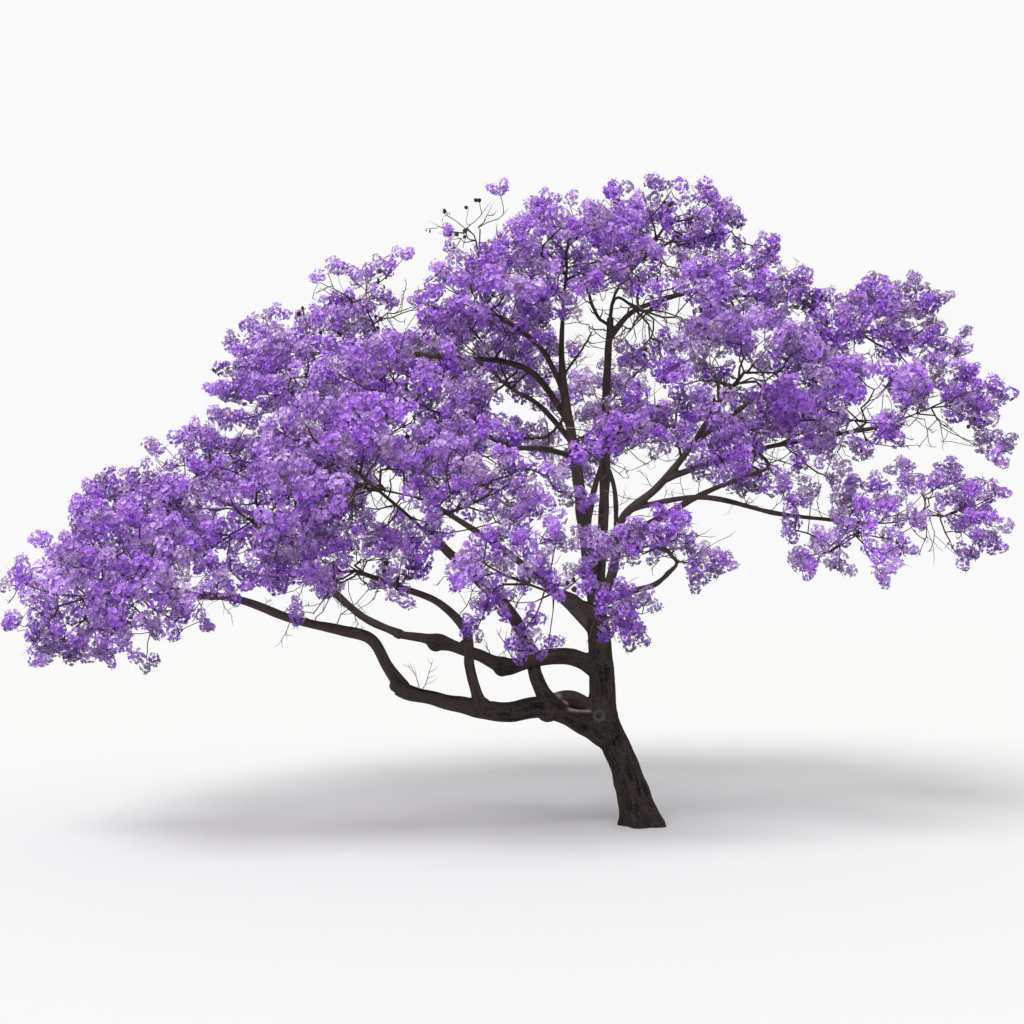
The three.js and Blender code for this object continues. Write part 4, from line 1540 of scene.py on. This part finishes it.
@dataclass
class FineGrowth:
    """Carries a mass on to finer twigs: clumps on its sprays and in its gaps, tufts on the clumps."""

    rule: GrowingRule
    mass: Mass
    clump_spacing: float = 0.32
    clumps_for_each_m3: float = 10.5
    clump_shares: tuple[float, ...] = (0.5, 0.9)
    clump_scatter: float = 0.08
    clump_reach: float = 0.88
    clump_slack: float = 0.06
    clump_tries: int = 2400
    crowding: float = 4.0
    volume_tries: int = 600
    tip_reach: float = 1.05
    tip_overlap: float = 0.2
    clump_clearance: float = 0.12
    tip_clearance: float = 0.07
    gap_pattern: int = 40
    gap_size: float = 0.5
    gap_share: float = 0.45
    tufts: tuple[int, int] = (2, 5)
    cluster_tufts: int = 4
    sprig_tufts: int = 3
    small_size: float = 0.82
    faded_share: float = 0.24
    fresh_share: float = 0.42
    alike_share: float = 0.5
    small_spread: float = 0.5
    bare_tufts: int = 3
    tuft_reach: Span = (0.03, 0.12)
    dome_lift: float = 0.55
    dome_tilt: float = 1.8
    dome_start: float = 0.3
    tilt_luck: float = 0.1
    angle_luck: float = 0.2
    tuft_lift: float = 0.12
    lowest_lift: float = -0.55
    lift_span: float = 0.5
    drape_floor: float = 0.75
    bare_low_share: float = 0.3
    stem_stations: int = 8
    twig_stations: tuple[float, ...] = (0.4, 0.58, 0.8, 1.0)
    spray_part: float = 0.9
    spray_steps: int = 4
    reach_steps: int = 3
    tuft_steps: int = 2
    hub_stations: int = 3
    twig_sway: float = 0.025
    thrift: float = 0.3
    clump_tint_spread: float = 0.5
    tuft_tint_spread: float = 0.42
    painted_light_by_way: float = 0.55
    painted_light_by_height: float = 0.4

    def __post_init__(self) -> None:
        """Starts the mass's random numbers and lays its first twigs."""
        self.numbers = np.random.default_rng(self.mass.seed)
        self.graph = TwigGraph(self.mass.stem_start)
        self.lay_stem_and_sprays()

    def lay_stem_and_sprays(self) -> None:
        """Lays the source's stem, twigs and spray axes as the first twigs."""
        mass, graph = self.mass, self.graph
        reach = float(np.linalg.norm(mass.hub - mass.stem_start))
        onward = mass.stem_start + mass.stem_way * reach * self.rule.stem_swing
        before = mass.hub + (mass.stem_start - mass.hub) * self.rule.stem_swing
        share = np.linspace(0, 1, self.stem_stations + 1)[1:, None]
        stem = (mass.stem_start * (1 - share) ** 3 + 3 * onward * share * (1 - share) ** 2
                + 3 * before * share ** 2 * (1 - share) + mass.hub * share ** 3)
        hub = graph.grow(0, list(stem))
        stations: list[list[tuple[float, int]]] = []
        for number, (start, end) in enumerate(mass.twigs):
            last, held = hub - number % self.hub_stations, []
            for part in self.twig_stations:
                place = start + (end - start) * part + self.numbers.normal(0, self.twig_sway, 3)
                last = graph.grow(last, [place])
                held.append((part, last))
            stations.append(held)
        for number, root, tip in mass.sprays:
            start = min(stations[number], key=lambda held: abs(held[0] - root))[1]
            end = graph.places[start] + (tip - graph.places[start]) * self.spray_part
            graph.grow(start, crooked(graph.places[start], end, self.spray_steps, self.numbers))

    def carry_on(self) -> list[Tuft]:
        """Grows the mass's fine twigs, and gives the tufts at their ends.

        Returns:
            The tufts.
        """
        numbers = self.numbers
        tufts: list[Tuft] = []
        for clump in [*self.clumps(), *self.small_clumps()]:
            start = self.graph.nearest(clump.centre, self.thrift)
            way = crooked(self.graph.places[start], clump.centre, self.reach_steps, numbers)
            heart = self.graph.grow(start, way)
            count = clump.tufts
            if count is None:
                drawn = int(numbers.integers(self.tufts[0], self.tufts[1] + 1))
                count = drawn if clump.bears is Bearing.FLOWERS else self.bare_tufts
            tint = self.clump_tint(clump.centre)
            usual = self.freshness()
            for way, foot in self.dome(clump, count):
                if clump.tufts is None and not self.has_room(foot + way * PANICLE_LENGTH):
                    continue
                self.graph.grow(heart, crooked(clump.centre, foot, self.tuft_steps, numbers))
                # Painted light and shade: a tuft that looks up gets a lighter step, one that looks down a
                # darker one.
                lighter = self.painted_light_by_way * float(way[2])
                own_tint = tint + lighter + numbers.normal(0, self.tuft_tint_spread)
                tufts.append(Tuft(foot, way, own_tint, self.freshness(usual), clump.bears, clump.size))
        return tufts

    def clump_tint(self, centre: Array) -> float:
        """Draws a clump's step on the scale of tints, lighter towards the top of its mass as painted light
        from above.

        Args:
            centre: Middle of the clump.

        Returns:
            The step.
        """
        height = float(np.clip((centre - self.mass.middle)[2] / self.mass.half[2], -1, 1))
        # Painted light and shade: clumps high in their mass get lighter steps, low ones darker.
        step = self.mass.plan.tone.value + self.painted_light_by_height * height
        return step + self.numbers.normal(0, self.clump_tint_spread)

    def freshness(self, usual: Freshness | None = None) -> Freshness:
        """Draws how fresh a clump is, or a panicle, which often follows what is usual in its clump.

        Args:
            usual: What is usual in a panicle's clump.

        Returns:
            The freshness.
        """
        drawn = self.numbers.random()
        if usual and self.numbers.random() < self.alike_share:
            return usual
        if drawn < self.faded_share + self.mass.plan.faded:
            return Freshness.FADED
        return Freshness.FRESH if drawn > 1 - self.fresh_share else Freshness.USUAL

    def small_clumps(self) -> list[Clump]:
        """Gives the clumps at the places that the plan lists."""
        placed = [(place, self.cluster_tufts) for place in self.mass.plan.clusters]
        placed += [(place, self.sprig_tufts) for place in self.mass.plan.sprigs]
        return [Clump(np.array(place), tufts=count, spread=self.small_spread, size=self.small_size)
                for place, count in placed]

    def clumps(self) -> list[Clump]:
        """Places clumps on the mass's sprays first, then where its own space still has room.

        Returns:
            The clumps.
        """
        mass, plan, numbers = self.mass, self.mass.plan, self.numbers
        on_sprays = []
        for number, share, tip in mass.sprays:
            start, end = mass.twigs[number]
            root = start + (end - start) * share
            for part in self.clump_shares:
                on_sprays.append(root + (tip - root) * part + numbers.normal(0, self.clump_scatter, 3))
        loose = unit(numbers.normal(0, 1, (self.clump_tries, 3)))
        loose = loose * numbers.random((self.clump_tries, 1)) ** (1 / self.crowding)
        reach = self.clump_reach * plan.reach
        wanted = np.vstack([np.array(on_sprays), mass.middle + loose * mass.half * reach])
        own = self.rule.in_own_space(wanted, mass, reach=reach + self.clump_slack, margin=0.0)
        wanted = wanted[own]
        lift = (wanted[:, 2] - mass.middle[2]) / mass.half[2]
        keep = (lift - self.lowest_lift) / self.lift_span + plan.drape
        keep = np.clip(keep, plan.drape * self.drape_floor, 1)
        keep = np.where(self.in_opening(wanted), 0, keep)
        keep = np.where(patchy(wanted / self.gap_size, self.gap_pattern) < self.gap_share, 0, keep)
        chance = numbers.random(len(wanted))
        most = round(self.clumps_for_each_m3 * self.own_volume() * plan.full)
        near_limb = self.rule.limb_radii + self.clump_clearance
        chosen: list[Clump] = []
        flowering = 0
        for place, share, drawn in zip(wanted, keep, chance):
            if flowering >= most:
                break
            held = np.array([clump.centre for clump in chosen])
            if len(held) and np.linalg.norm(held - place, axis=1).min() < self.clump_spacing:
                continue
            if np.any(np.linalg.norm(self.rule.limb_places - place, axis=1) < near_limb):
                continue
            if drawn < share:
                bears = Bearing.PODS if numbers.random() < plan.pods else Bearing.FLOWERS
                chosen.append(Clump(place, bears))
                flowering += 1
            elif drawn > 1 - self.bare_low_share:
                chosen.append(Clump(place, Bearing.NOTHING))
        return chosen

    @staticmethod
    def in_opening(places: Array) -> Array:
        """Tells which places lie behind or before one of the crown's openings.

        Args:
            places: Places, one in each row.

        Returns:
            True or false for each row.
        """
        eye = np.array(Studio.eye)
        onward = places - eye
        seen = eye + onward * (-eye[1] / onward[:, 1])[:, None]
        hidden = np.zeros(len(places), bool)
        for gap in OPENINGS:
            hidden |= np.hypot(seen[:, 0] - gap.across, seen[:, 2] - gap.up) < gap.radius
        return hidden

    def own_volume(self) -> float:
        """Gives the volume of the mass's own space, from a sample of places.

        Returns:
            Cubic metres.
        """
        numbers = np.random.default_rng(self.mass.seed + 1000)
        places = unit(numbers.normal(0, 1, (self.volume_tries, 3)))
        places = places * numbers.random((self.volume_tries, 1)) ** (1 / 3)
        places = self.mass.middle + places * self.mass.half
        own = self.rule.in_own_space(places, self.mass, margin=0.0).mean()
        return float(own * 4 / 3 * math.pi * np.prod(self.mass.half))

    def dome(self, clump: Clump, count: int) -> list[tuple[Array, Array]]:
        """Spreads the tufts of a clump over a dome that faces outward and up.

        Args:
            clump: The clump.
            count: How many tufts it has.

        Returns:
            Way and foot of each tuft.
        """
        numbers = self.numbers
        outward = unit(unit(clump.centre - self.mass.hub) + UP * self.dome_lift)
        spin = numbers.random() * math.tau
        turn = turned(UP, outward)
        found = []
        for number in range(count):
            tilt = self.dome_tilt * math.sqrt((number + self.dome_start) / count)
            tilt += numbers.normal(0, self.tilt_luck)
            angle = spin + number * GOLDEN_ANGLE + numbers.normal(0, self.angle_luck)
            aside = math.sin(tilt)
            local = np.array([aside * math.cos(angle), aside * math.sin(angle), math.cos(tilt)])
            way = unit(turn @ local + UP * self.tuft_lift)
            out = numbers.uniform(*self.tuft_reach)
            found.append((way, clump.centre + way * out * clump.spread))
        return found

    def has_room(self, tip: Array) -> bool:
        """Tells whether the tip of a panicle keeps to its mass's reach and off the limbs.

        Args:
            tip: Place of the tip.

        Returns:
            True where it does.
        """
        near_limb = self.rule.limb_radii + self.tip_clearance
        if np.any(np.linalg.norm(self.rule.limb_places - tip, axis=1) < near_limb):
            return False
        reach = self.tip_reach * self.mass.plan.reach
        own = self.rule.in_own_space(tip[None], self.mass, reach=reach, margin=-self.tip_overlap)
        return bool(own[0])


@dataclass
class TwigWork:
    """The twigs of a region as one mesh of three-sided tapering tubes."""

    tip_radius: float = 0.0042
    load_power: float = 0.44
    root_swelling: float = 1.25
    sides: int = 3
    stout_sides: int = 5
    stout_radius: float = 0.016
    dark_radius: float = 0.012
    tint_shares: tuple[float, ...] = (0.35, 0.45, 0.2)

    def dress(self, facets: Facets, graph: TwigGraph, stem_radius: float,
              numbers: Numbers) -> None:
        """Adds the tubes of one graph's twigs.

        Args:
            facets: Where the tubes are gathered.
            graph: The twigs.
            stem_radius: Radius at the graph's root, which no twig passes.
            numbers: Source of random numbers.
        """
        loads = graph.loads()
        radii = self.tip_radius * np.maximum(loads, 1) ** self.load_power
        radii = np.minimum(radii, stem_radius)
        radii[0] = stem_radius
        places = np.array(graph.places)
        for line in graph.chains(loads):
            sizes = radii[line].copy()
            if line[0] != 0:
                sizes[0] = min(sizes[0], sizes[1] * self.root_swelling)
            sides = self.stout_sides if sizes[0] > self.stout_radius else self.sides
            slot = 0
            if sizes[0] <= self.dark_radius:
                slot = int(numbers.choice(len(TwigTint), p=self.tint_shares))
            facets.add(*tube(places[line], sizes, sides, pointed=True), slot)


@dataclass(frozen=True)
class ShootPlan:
    """A bare shoot: its bough, the share of the bough's length at its root, its stretches and radius."""

    bough: str
    share: float
    ways: tuple[Point, ...]
    radius: float = 0.007


def twig_woods(kind: str) -> list[Material]:
    """Makes the finishes of twigs or shoots, from dark to pale."""
    return [TwigFinish(f"{kind}_{tint.name.lower()}", tint.value).material() for tint in TwigTint]


@dataclass
class BareShoots:
    """Thin leafless shoots on the boughs: some at their own places, the rest all along the upper limbs."""

    placed: tuple[ShootPlan, ...] = tuple(ShootPlan(*plan) for plan in (
        ("low_bough", 0.88, ((-0.17, -0.1, 0.46),)), ("low_bough", 0.9, ((0.2, -0.06, 0.5),)),
        ("long_bough", 0.4, ((-0.3, -0.12, 0.52),), 0.012),
        ("long_bough", 0.52, ((-0.1, -0.1, 0.3),), 0.01),
        ("low_bough_end", 0.42, ((0.3, -0.1, 0.6),), 0.01),
        ("low_bough_end", 0.36, ((0.55, 0.1, 0.62),), 0.009),
        ("outer_riser", 0.55, ((0.3, -0.1, 0.6),), 0.009),
        ("inner_riser", 0.4, ((0.35, -0.2, 0.55),), 0.009),
        ("leader", 0.66, ((-0.3, -0.15, -0.38), (-0.35, -0.1, -0.02), (-0.3, -0.1, 0.12)), 0.022),
        ("leader", 0.78, ((0.22, -0.15, 0.3), (0.2, 0, 0.35)), 0.018),
        ("leader", 0.56, ((0.3, -0.2, 0.15), (0.25, -0.1, 0.3)), 0.018),
        ("right_leader", 0.97, ((-0.3, -0.1, 0.42), (-0.2, 0, 0.4)), 0.026),
        ("right_leader", 0.72, ((0.3, -0.2, 0.25), (0.35, -0.1, 0.35)), 0.02),
        ("right_limb", 0.97, ((-0.5, -0.2, 0.04), (-0.55, -0.1, 0.08)), 0.02),
        ("right_limb", 0.75, ((-0.1, -0.2, 0.45), (0.1, -0.1, 0.4)), 0.018),
        ("upper_right_limb", 0.3, ((0.06, -0.1, -0.55),)),
        ("upper_right_limb", 0.5, ((-0.05, -0.1, -0.65),)),
        ("upper_right_limb", 0.7, ((0.04, -0.15, -0.6),)),
        ("left_limb", 0.5, ((-0.2, -0.2, 0.35), (-0.3, 0, 0.25)), 0.016),
        ("left_limb", 0.3, ((-0.35, -0.15, -0.2), (-0.3, -0.1, -0.25)), 0.016),
        ("far_right_limb", 0.55, ((0.3, -0.1, -0.3), (0.35, 0, -0.25)), 0.014),
    ))
    limbs: tuple[str, ...] = (
        "leader", "right_leader", "right_limb", "left_limb", "upper_left_limb", "left_low_limb",
        "upper_right_limb", "right_low_limb", "far_right_limb", "long_bough_end", "low_bough_end",
        "inner_riser", "back_left_bough", "back_bough", "back_right_bough", "back_top_limb")
    spacing: float = 0.3
    length: Span = (0.3, 0.75)
    lift: float = 0.8
    radius: float = 0.007
    first_share: float = 0.3
    last_share: float = 0.98
    steps: int = 6
    side_shoots: int = 4
    side_spread: float = 0.6
    side_length: float = 0.4
    side_steps: int = 2
    tip_share: float = 0.45

    def build(self, framework: Framework) -> Piece:
        """Grows all shoots.

        Args:
            framework: The grown limbs.

        Returns:
            The piece.
        """
        self.numbers = np.random.default_rng(77)
        self.gathered = Facets()
        for plan in self.placed:
            root = framework.limbs[plan.bough].line.at(plan.share)
            self.grow(root, np.array(plan.ways), plan.radius)
        for name in self.limbs:
            line = framework.limbs[name].line
            for number in range(round(line.length * (1 - self.first_share) / self.spacing)):
                share = self.first_share + (number + self.numbers.random()) * self.spacing / line.length
                way = unit(self.numbers.normal(0, 1, 3) + UP * self.lift)
                way = way * self.numbers.uniform(*self.length)
                self.grow(line.at(min(share, self.last_share)), way[None], self.radius)
        piece = self.gathered.piece("bare_shoots", twig_woods("shoot"))
        LOG.info("%s: %d triangles", piece.name, self.gathered.triangles())
        return piece

    def grow(self, root: Array, ways: Array, radius: float) -> None:
        """Grows one shoot with its side shoots.

        Args:
            root: Where it starts, inside its bough.
            ways: Ways of its stretches, one after the other.
            radius: Radius at the root.
        """
        graph = TwigGraph(root)
        end, place = 0, root
        for way in ways:
            first = len(graph.places)
            end = graph.grow(end, crooked(place, place + way, self.steps, self.numbers))
            place = place + way
            for start in range(first + 1, first + 1 + self.side_shoots):
                aside = unit(unit(way) + self.numbers.normal(0, self.side_spread, 3))
                aside = aside * float(np.linalg.norm(way)) * self.side_length
                foot = graph.places[start]
                graph.grow(start, crooked(foot, foot + aside, self.side_steps, self.numbers))
        TwigWork(tip_radius=radius * self.tip_share).dress(self.gathered, graph, radius, self.numbers)


@dataclass
class Flower:
    """A bell of five petals with slits between them, from the end of its stalk to its mouth."""

    length: float = 0.027
    mouth: float = 0.030
    slit: float = 0.1
    tip: float = 0.039
    tip_length: float = 0.022
    bud_length: float = 0.032
    bud_radius: float = 0.008
    bud_point: float = 1.35

    def rim(self, share: float, radius: float, height: float, petal: float) -> Array:
        """Gives a corner of a petal, at a share of the way from one slit to the next."""
        angle = (petal + share) * math.tau / PETALS
        return np.array([math.cos(angle) * radius, math.sin(angle) * radius, height])

    def petals(self, tips: Sequence[Point]) -> Array:
        """Gives the foot of a flower, and for each petal its slit, tips and next slit.

        Args:
            tips: Share, radius and height of each corner between the slits.

        Returns:
            All corners.
        """
        slits = [(share, self.mouth, self.length) for share in (self.slit, 1 - self.slit)]
        edge = [slits[0], *tips, slits[1]]
        corners = [self.rim(*corner, petal) for petal in range(PETALS) for corner in edge]
        return np.array([np.zeros(3), *corners])

    def bell(self) -> Shape:
        """Builds a half-open flower that looks towards +Z, with one face for each petal."""
        return self.petals([]), np.array([(0, 1 + 2 * k, 2 + 2 * k) for k in range(PETALS)])

    def wide_open(self) -> Shape:
        """Builds an open flower that looks towards +Z, with two faces and a tip for each petal."""
        faces = [(0, side + 3 * k, side + 1 + 3 * k) for side in (1, 2) for k in range(PETALS)]
        return self.petals([(0.5, self.tip, self.tip_length)]), np.array(faces)

    def bud(self) -> Shape:
        """Builds a closed bud that points towards +Z.

        Returns:
            Corners and faces.
        """
        ring = [self.rim(0, self.bud_radius, self.bud_length, PETALS * k / 3) for k in range(3)]
        corners = np.array([np.zeros(3), *ring, UP * self.bud_length * self.bud_point])
        faces = [(0, 2, 1), (0, 3, 2), (0, 1, 3), (1, 2, 4), (2, 3, 4), (3, 1, 4)]
        return corners, np.array(faces)


@dataclass
class FlowerHead:
    """Flowers and stalks of one kind of panicle, with its foot at the origin and its tip to +Z."""

    corners: Array
    faces: Array
    owners: Array
    seats: Array
    luck: Array
    stalks: Shape


@dataclass
class Panicle:
    """A loose plump cone of flowers round a stalk, with side stalks to its flowers."""

    length: float = PANICLE_LENGTH
    width: float = 0.105
    flowers: int = 26
    open_share: float = 0.34
    buds: int = 2
    bud_step: float = -2.0
    flower_spread: float = 0.65
    first_seat: float = 0.06
    seat_span: float = 0.86
    inner_seat: float = 0.25
    seat_luck: float = 0.25
    belly_start: float = 0.16
    belly_span: float = 0.8
    belly_power: float = 0.7
    look_out: float = 1.1
    look_up: float = 1.5
    look_down: float = 0.25
    look_luck: float = 0.28
    side_stalks: int = 3
    side_span: float = 0.8
    side_taper: float = 0.6
    side_reach: Span = (0.6, 0.9)
    side_rise: float = 0.03
    side_girth: float = 0.7
    stalk_part: float = 0.95
    stalk_radius: float = 0.0035
    kinds: int = 9
    flower: Flower = field(default_factory=Flower)

    def blossom(self, kind: int) -> FlowerHead:
        """Builds one kind of panicle, each flower with its own luck in lightness.

        Args:
            kind: Number of the kind.

        Returns:
            Its flowers and stalks.
        """
        numbers = np.random.default_rng(500 + kind)
        gathered = Facets()
        bell, wide_open, bud = self.flower.bell(), self.flower.wide_open(), self.flower.bud()
        seats, luck = [], []
        for number in range(self.flowers + self.buds):
            place, way = self.seat(number, numbers)
            is_bud = number >= self.flowers
            is_open = not is_bud and numbers.random() < self.open_share
            corners, faces = bud if is_bud else wide_open if is_open else bell
            turn = turned(UP, way) @ spun(numbers)
            gathered.add(corners @ turn.T * numbers.uniform(*SIZES) + place, faces, number)
            seats.append(place)
            luck.append(numbers.normal(self.bud_step if is_bud else 0, self.flower_spread))
        owners = np.concatenate(gathered.slots)
        return FlowerHead(*gathered.shape(), owners, np.array(seats), np.array(luck), self.stalks(kind))

    def seat(self, number: int, numbers: Numbers) -> tuple[Array, Array]:
        """Seats a flower in the panicle.

        Args:
            number: Number of the flower, from the foot.
            numbers: Source of random numbers.

        Returns:
            Its place, and the way that it looks.
        """
        share = (number + 0.5) / (self.flowers + self.buds)
        angle = number * GOLDEN_ANGLE + numbers.normal(0, self.seat_luck)
        spoke = np.array([math.cos(angle), math.sin(angle), 0])
        belly = math.sin(math.pi * (self.belly_start + self.belly_span * share)) ** self.belly_power
        out = self.width * belly * numbers.uniform(self.inner_seat, 1.0)
        place = spoke * out + UP * self.length * (self.first_seat + self.seat_span * share)
        rise = UP * (self.look_up * share - self.look_down)
        way = unit(spoke * self.look_out * belly + rise + numbers.normal(0, self.look_luck, 3))
        return place, way

    def stalks(self, kind: int) -> Shape:
        """Builds the stalk and the side stalks of one kind of panicle.

        Args:
            kind: Number of the kind.

        Returns:
            Corners and faces.
        """
        gathered = Facets()
        axis = np.array([[0, 0, 0], [0, 0, self.length * self.stalk_part]], float)
        gathered.add(*tube(axis, np.array([self.stalk_radius, 0]), 3, pointed=True))
        numbers = np.random.default_rng(900 + kind)
        for number in range(self.side_stalks):
            share = (number + 0.5) / self.side_stalks
            angle = number * GOLDEN_ANGLE
            spoke = np.array([math.cos(angle), math.sin(angle), 0])
            foot = UP * self.length * share * self.side_span
            narrow = 1 - self.side_taper * share
            out = spoke * self.width * narrow * numbers.uniform(*self.side_reach)
            axis = np.array([foot, foot + out + UP * self.side_rise])
            radii = np.array([self.stalk_radius * self.side_girth, 0])
            gathered.add(*tube(axis, radii, 3, pointed=True))
        return gathered.shape()


@dataclass
class SeedPod:
    """A flat round woody pod that hangs from a bare twig."""

    radius: float = 0.034
    thickness: float = 0.011
    sides: int = 8
    waves: int = 3
    wave_depth: float = 0.06

    def facets(self) -> Shape:
        """Builds the pod as a lens that hangs below the origin.

        Returns:
            Corners and faces.
        """
        angles = np.arange(self.sides) * math.tau / self.sides
        wave = 1 + self.wave_depth * np.cos(self.waves * angles)
        rim = np.stack([np.cos(angles) * self.radius * wave, np.zeros(self.sides),
                        np.sin(angles) * self.radius * wave], -1)
        corners = np.vstack([rim, [0, self.thickness / 2, 0], [0, -self.thickness / 2, 0]])
        corners[:, 2] -= self.radius
        side = np.arange(self.sides)
        onward = (side + 1) % self.sides
        front = np.full(self.sides, self.sides)
        lens = [np.stack([onward, side, front], -1), np.stack([side, onward, front + 1], -1)]
        return corners, np.vstack(lens)


@dataclass
class Crown:
    """The whole crown: twigs, blossom and pods, region by region."""

    rule: GrowingRule = field(default_factory=GrowingRule)
    panicle: Panicle = field(default_factory=Panicle)
    pod: SeedPod = field(default_factory=SeedPod)
    twig_work: TwigWork = field(default_factory=TwigWork)
    painted_light_by_seat: float = 1.6
    pod_sizes: Span = (0.8, 1.15)

    def build(self, framework: Framework) -> list[Piece]:
        """Grows and dresses the crown.

        Args:
            framework: The grown limbs.

        Returns:
            Its pieces.
        """
        masses = self.rule.place(framework)
        petals = [PetalFinish(f"petal_{tint.name}_{age.name}".lower(), age.color(tint)).material()
                  for age in Freshness for tint in Tint]
        woods = twig_woods("twig")
        heads = [self.panicle.blossom(kind) for kind in range(self.panicle.kinds)]
        pieces = []
        pods = Facets()
        panicles = 0
        for region in Region:
            twigs, blossom = Facets(), Facets()
            members = [mass for mass in masses if mass.plan.region is region]
            for mass in members:
                growth = FineGrowth(self.rule, mass)
                tufts = growth.carry_on()
                numbers = np.random.default_rng(mass.seed + 200)
                self.twig_work.dress(twigs, growth.graph, mass.stem_radius, numbers)
                panicles += self.deal_out(tufts, heads, twigs, blossom, pods, numbers)
            nodes = [f"blossom_{mass.plan.name}" for mass in members]
            for facets, name, kind, finishes in ((blossom, "panicles", "blossom", petals),
                                                 (twigs, "twigs", "twigs", woods)):
                piece = facets.piece(f"{name}_{region.value}", finishes)
                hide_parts(*nodes)
                pieces.append(piece)
                LOG.info("%s: %d triangles", piece.name, facets.triangles())
        pod_piece = pods.piece("seed_pods", [HuskFinish().material()])
        LOG.info("seed_pods: %d triangles; %d panicles", pods.triangles(), panicles)
        return [*pieces, pod_piece]

    def deal_out(self, tufts: list[Tuft], heads: list[FlowerHead], twigs: Facets,
                 blossom: Facets, pods: Facets, numbers: Numbers) -> int:
        """Gives each tuft a panicle or a pod, where its clump bears one.

        Args:
            tufts: Tufts of one mass.
            heads: One panicle of each kind.
            twigs: The region's twigs, which the stalks join.
            blossom: The region's blossom.
            pods: All pods.
            numbers: Source of random numbers.

        Returns:
            How many panicles were dealt out.
        """
        dealt = 0
        for tuft in tufts:
            if tuft.bears is Bearing.NOTHING:
                continue
            if tuft.bears is Bearing.PODS:
                corners, faces = self.pod.facets()
                turn = spun(numbers)
                pods.add(corners @ turn.T * numbers.uniform(*self.pod_sizes) + tuft.place, faces)
                continue
            head = heads[int(numbers.integers(self.panicle.kinds))]
            turn = turned(UP, tuft.way) @ spun(numbers)
            size = tuft.size * numbers.uniform(*SIZES)
            steps = self.steps_of_flowers(head, turn, tuft.tint) + self.first_step(tuft.freshness)
            blossom.add(head.corners @ turn.T * size + tuft.place, head.faces, steps[head.owners])
            corners, faces = head.stalks
            twigs.add(corners @ turn.T * size + tuft.place, faces, 1)
            dealt += 1
        return dealt

    @staticmethod
    def first_step(freshness: Freshness) -> int:
        """Gives the number of the darkest tint of one freshness among the petals' finishes."""
        return list(Freshness).index(freshness) * len(Tint)

    def steps_of_flowers(self, head: FlowerHead, turn: Array, tint: float) -> Array:
        """Deals a panicle's flowers their steps on the scale of tints, lighter at its top side and darker
        at its underside, as painted light and shade.

        Args:
            head: The panicle's flowers.
            turn: Turn of the panicle, as a matrix.
            tint: The panicle's own step.

        Returns:
            Number of a tint for each flower.
        """
        seats = (head.seats - UP * self.panicle.length / 2) @ turn.T
        rise = seats[:, 2] / (self.panicle.length / 2)
        # Painted light and shade: flowers above the panicle's middle get lighter steps, those below darker
        # ones.
        steps = np.round(tint + self.painted_light_by_seat * rise + head.luck)
        return np.clip(steps, 0, len(Tint) - 1).astype(int)


@dataclass
class Studio:
    """Pale floor, soft light from above and the front left, and the camera of the main view."""

    eye: Point = (-1.79, -18.0, 3.1)
    pitch_up: float = 3.9
    lens: float = 45.2
    sensor: float = 36.0
    clip_end: float = 500.0
    floor_half: float = 150.0
    floor_color: Color = (0.78, 0.78, 0.77)
    sky_color: Color = (0.95, 0.95, 0.955)
    sky_light: float = 0.54
    sky_seen: float = 1.0
    sun_strength: float = 2.95
    sun_softness: float = 0.7
    sun_turn: Span = (38.0, -32.0)

    def set_up(self) -> None:
        """Sets the floor, the light and the camera."""
        bpy.context.scene.view_settings.view_transform = "Standard"
        self.floor()
        self.sky()
        self.sun()
        self.camera()

    def floor(self) -> None:
        """Lays the floor at ground level."""
        half = self.floor_half
        flat = Facets()
        corners = np.array([(-half, -half, 0), (half, -half, 0), (half, half, 0), (-half, half, 0)])
        flat.add(corners, np.array([(0, 1, 2), (0, 2, 3)]))
        flat.piece("floor", [PlainFinish("floor", self.floor_color).material()])

    def sky(self) -> None:
        """Makes the sky near white to look at, and softer as a light."""
        world = bpy.data.worlds.new("overcast")
        bpy.context.scene.world = world
        world.use_nodes = True
        bench = NodeBench(world.node_tree)
        back = bench.tree.nodes["Background"]
        bench.fill(back, {"Color": (*self.sky_color, 1), "Strength": self.sky_light})
        seen = bench.add("Background", 0, {"Color": (*self.sky_color, 1), "Strength": self.sky_seen})
        looks = bench.add("LightPath", "Is Camera Ray", {})
        either = bench.add("MixShader", 0, {"Fac": looks, 1: back.outputs[0], 2: seen})
        bench.fill(bench.tree.nodes["World Output"], {"Surface": either})

    def sun(self) -> None:
        """Hangs one wide soft light."""
        lamp = bpy.data.lights.new("soft_daylight", "SUN")
        lamp.energy = self.sun_strength
        lamp.angle = self.sun_softness
        holder = bpy.data.objects.new("soft_daylight", lamp)
        tilt, turn = (math.radians(angle) for angle in self.sun_turn)
        holder.rotation_euler = (tilt, 0, turn)
        bpy.context.scene.collection.objects.link(holder)

    def camera(self) -> None:
        """Sets the camera where the main view is taken from."""
        made = bpy.data.cameras.new("main_view")
        made.lens = self.lens
        made.sensor_width = self.sensor
        made.clip_end = self.clip_end
        holder = bpy.data.objects.new("main_view", made)
        holder.location = self.eye
        holder.rotation_euler = (math.radians(90 + self.pitch_up), 0, 0)
        bpy.context.scene.collection.objects.link(holder)
        bpy.context.scene.camera = holder


def main() -> None:
    """Builds the tree and its studio, and reports each piece."""
    logging.basicConfig(level=logging.INFO, format="%(name)s: %(message)s")
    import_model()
    Studio().set_up()
    framework = Framework()
    limbs = framework.grow()
    bark = BarkSkin().build(limbs, BarkFinish())
    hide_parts(*limbs)
    LOG.info("%s: %d triangles", bark.name, triangle_count(bark))
    shoots = BareShoots().build(framework)
    for piece in (bark, *Crown().build(framework), shoots):
        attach(piece, BODY)


if __name__ == "__main__":
    main()
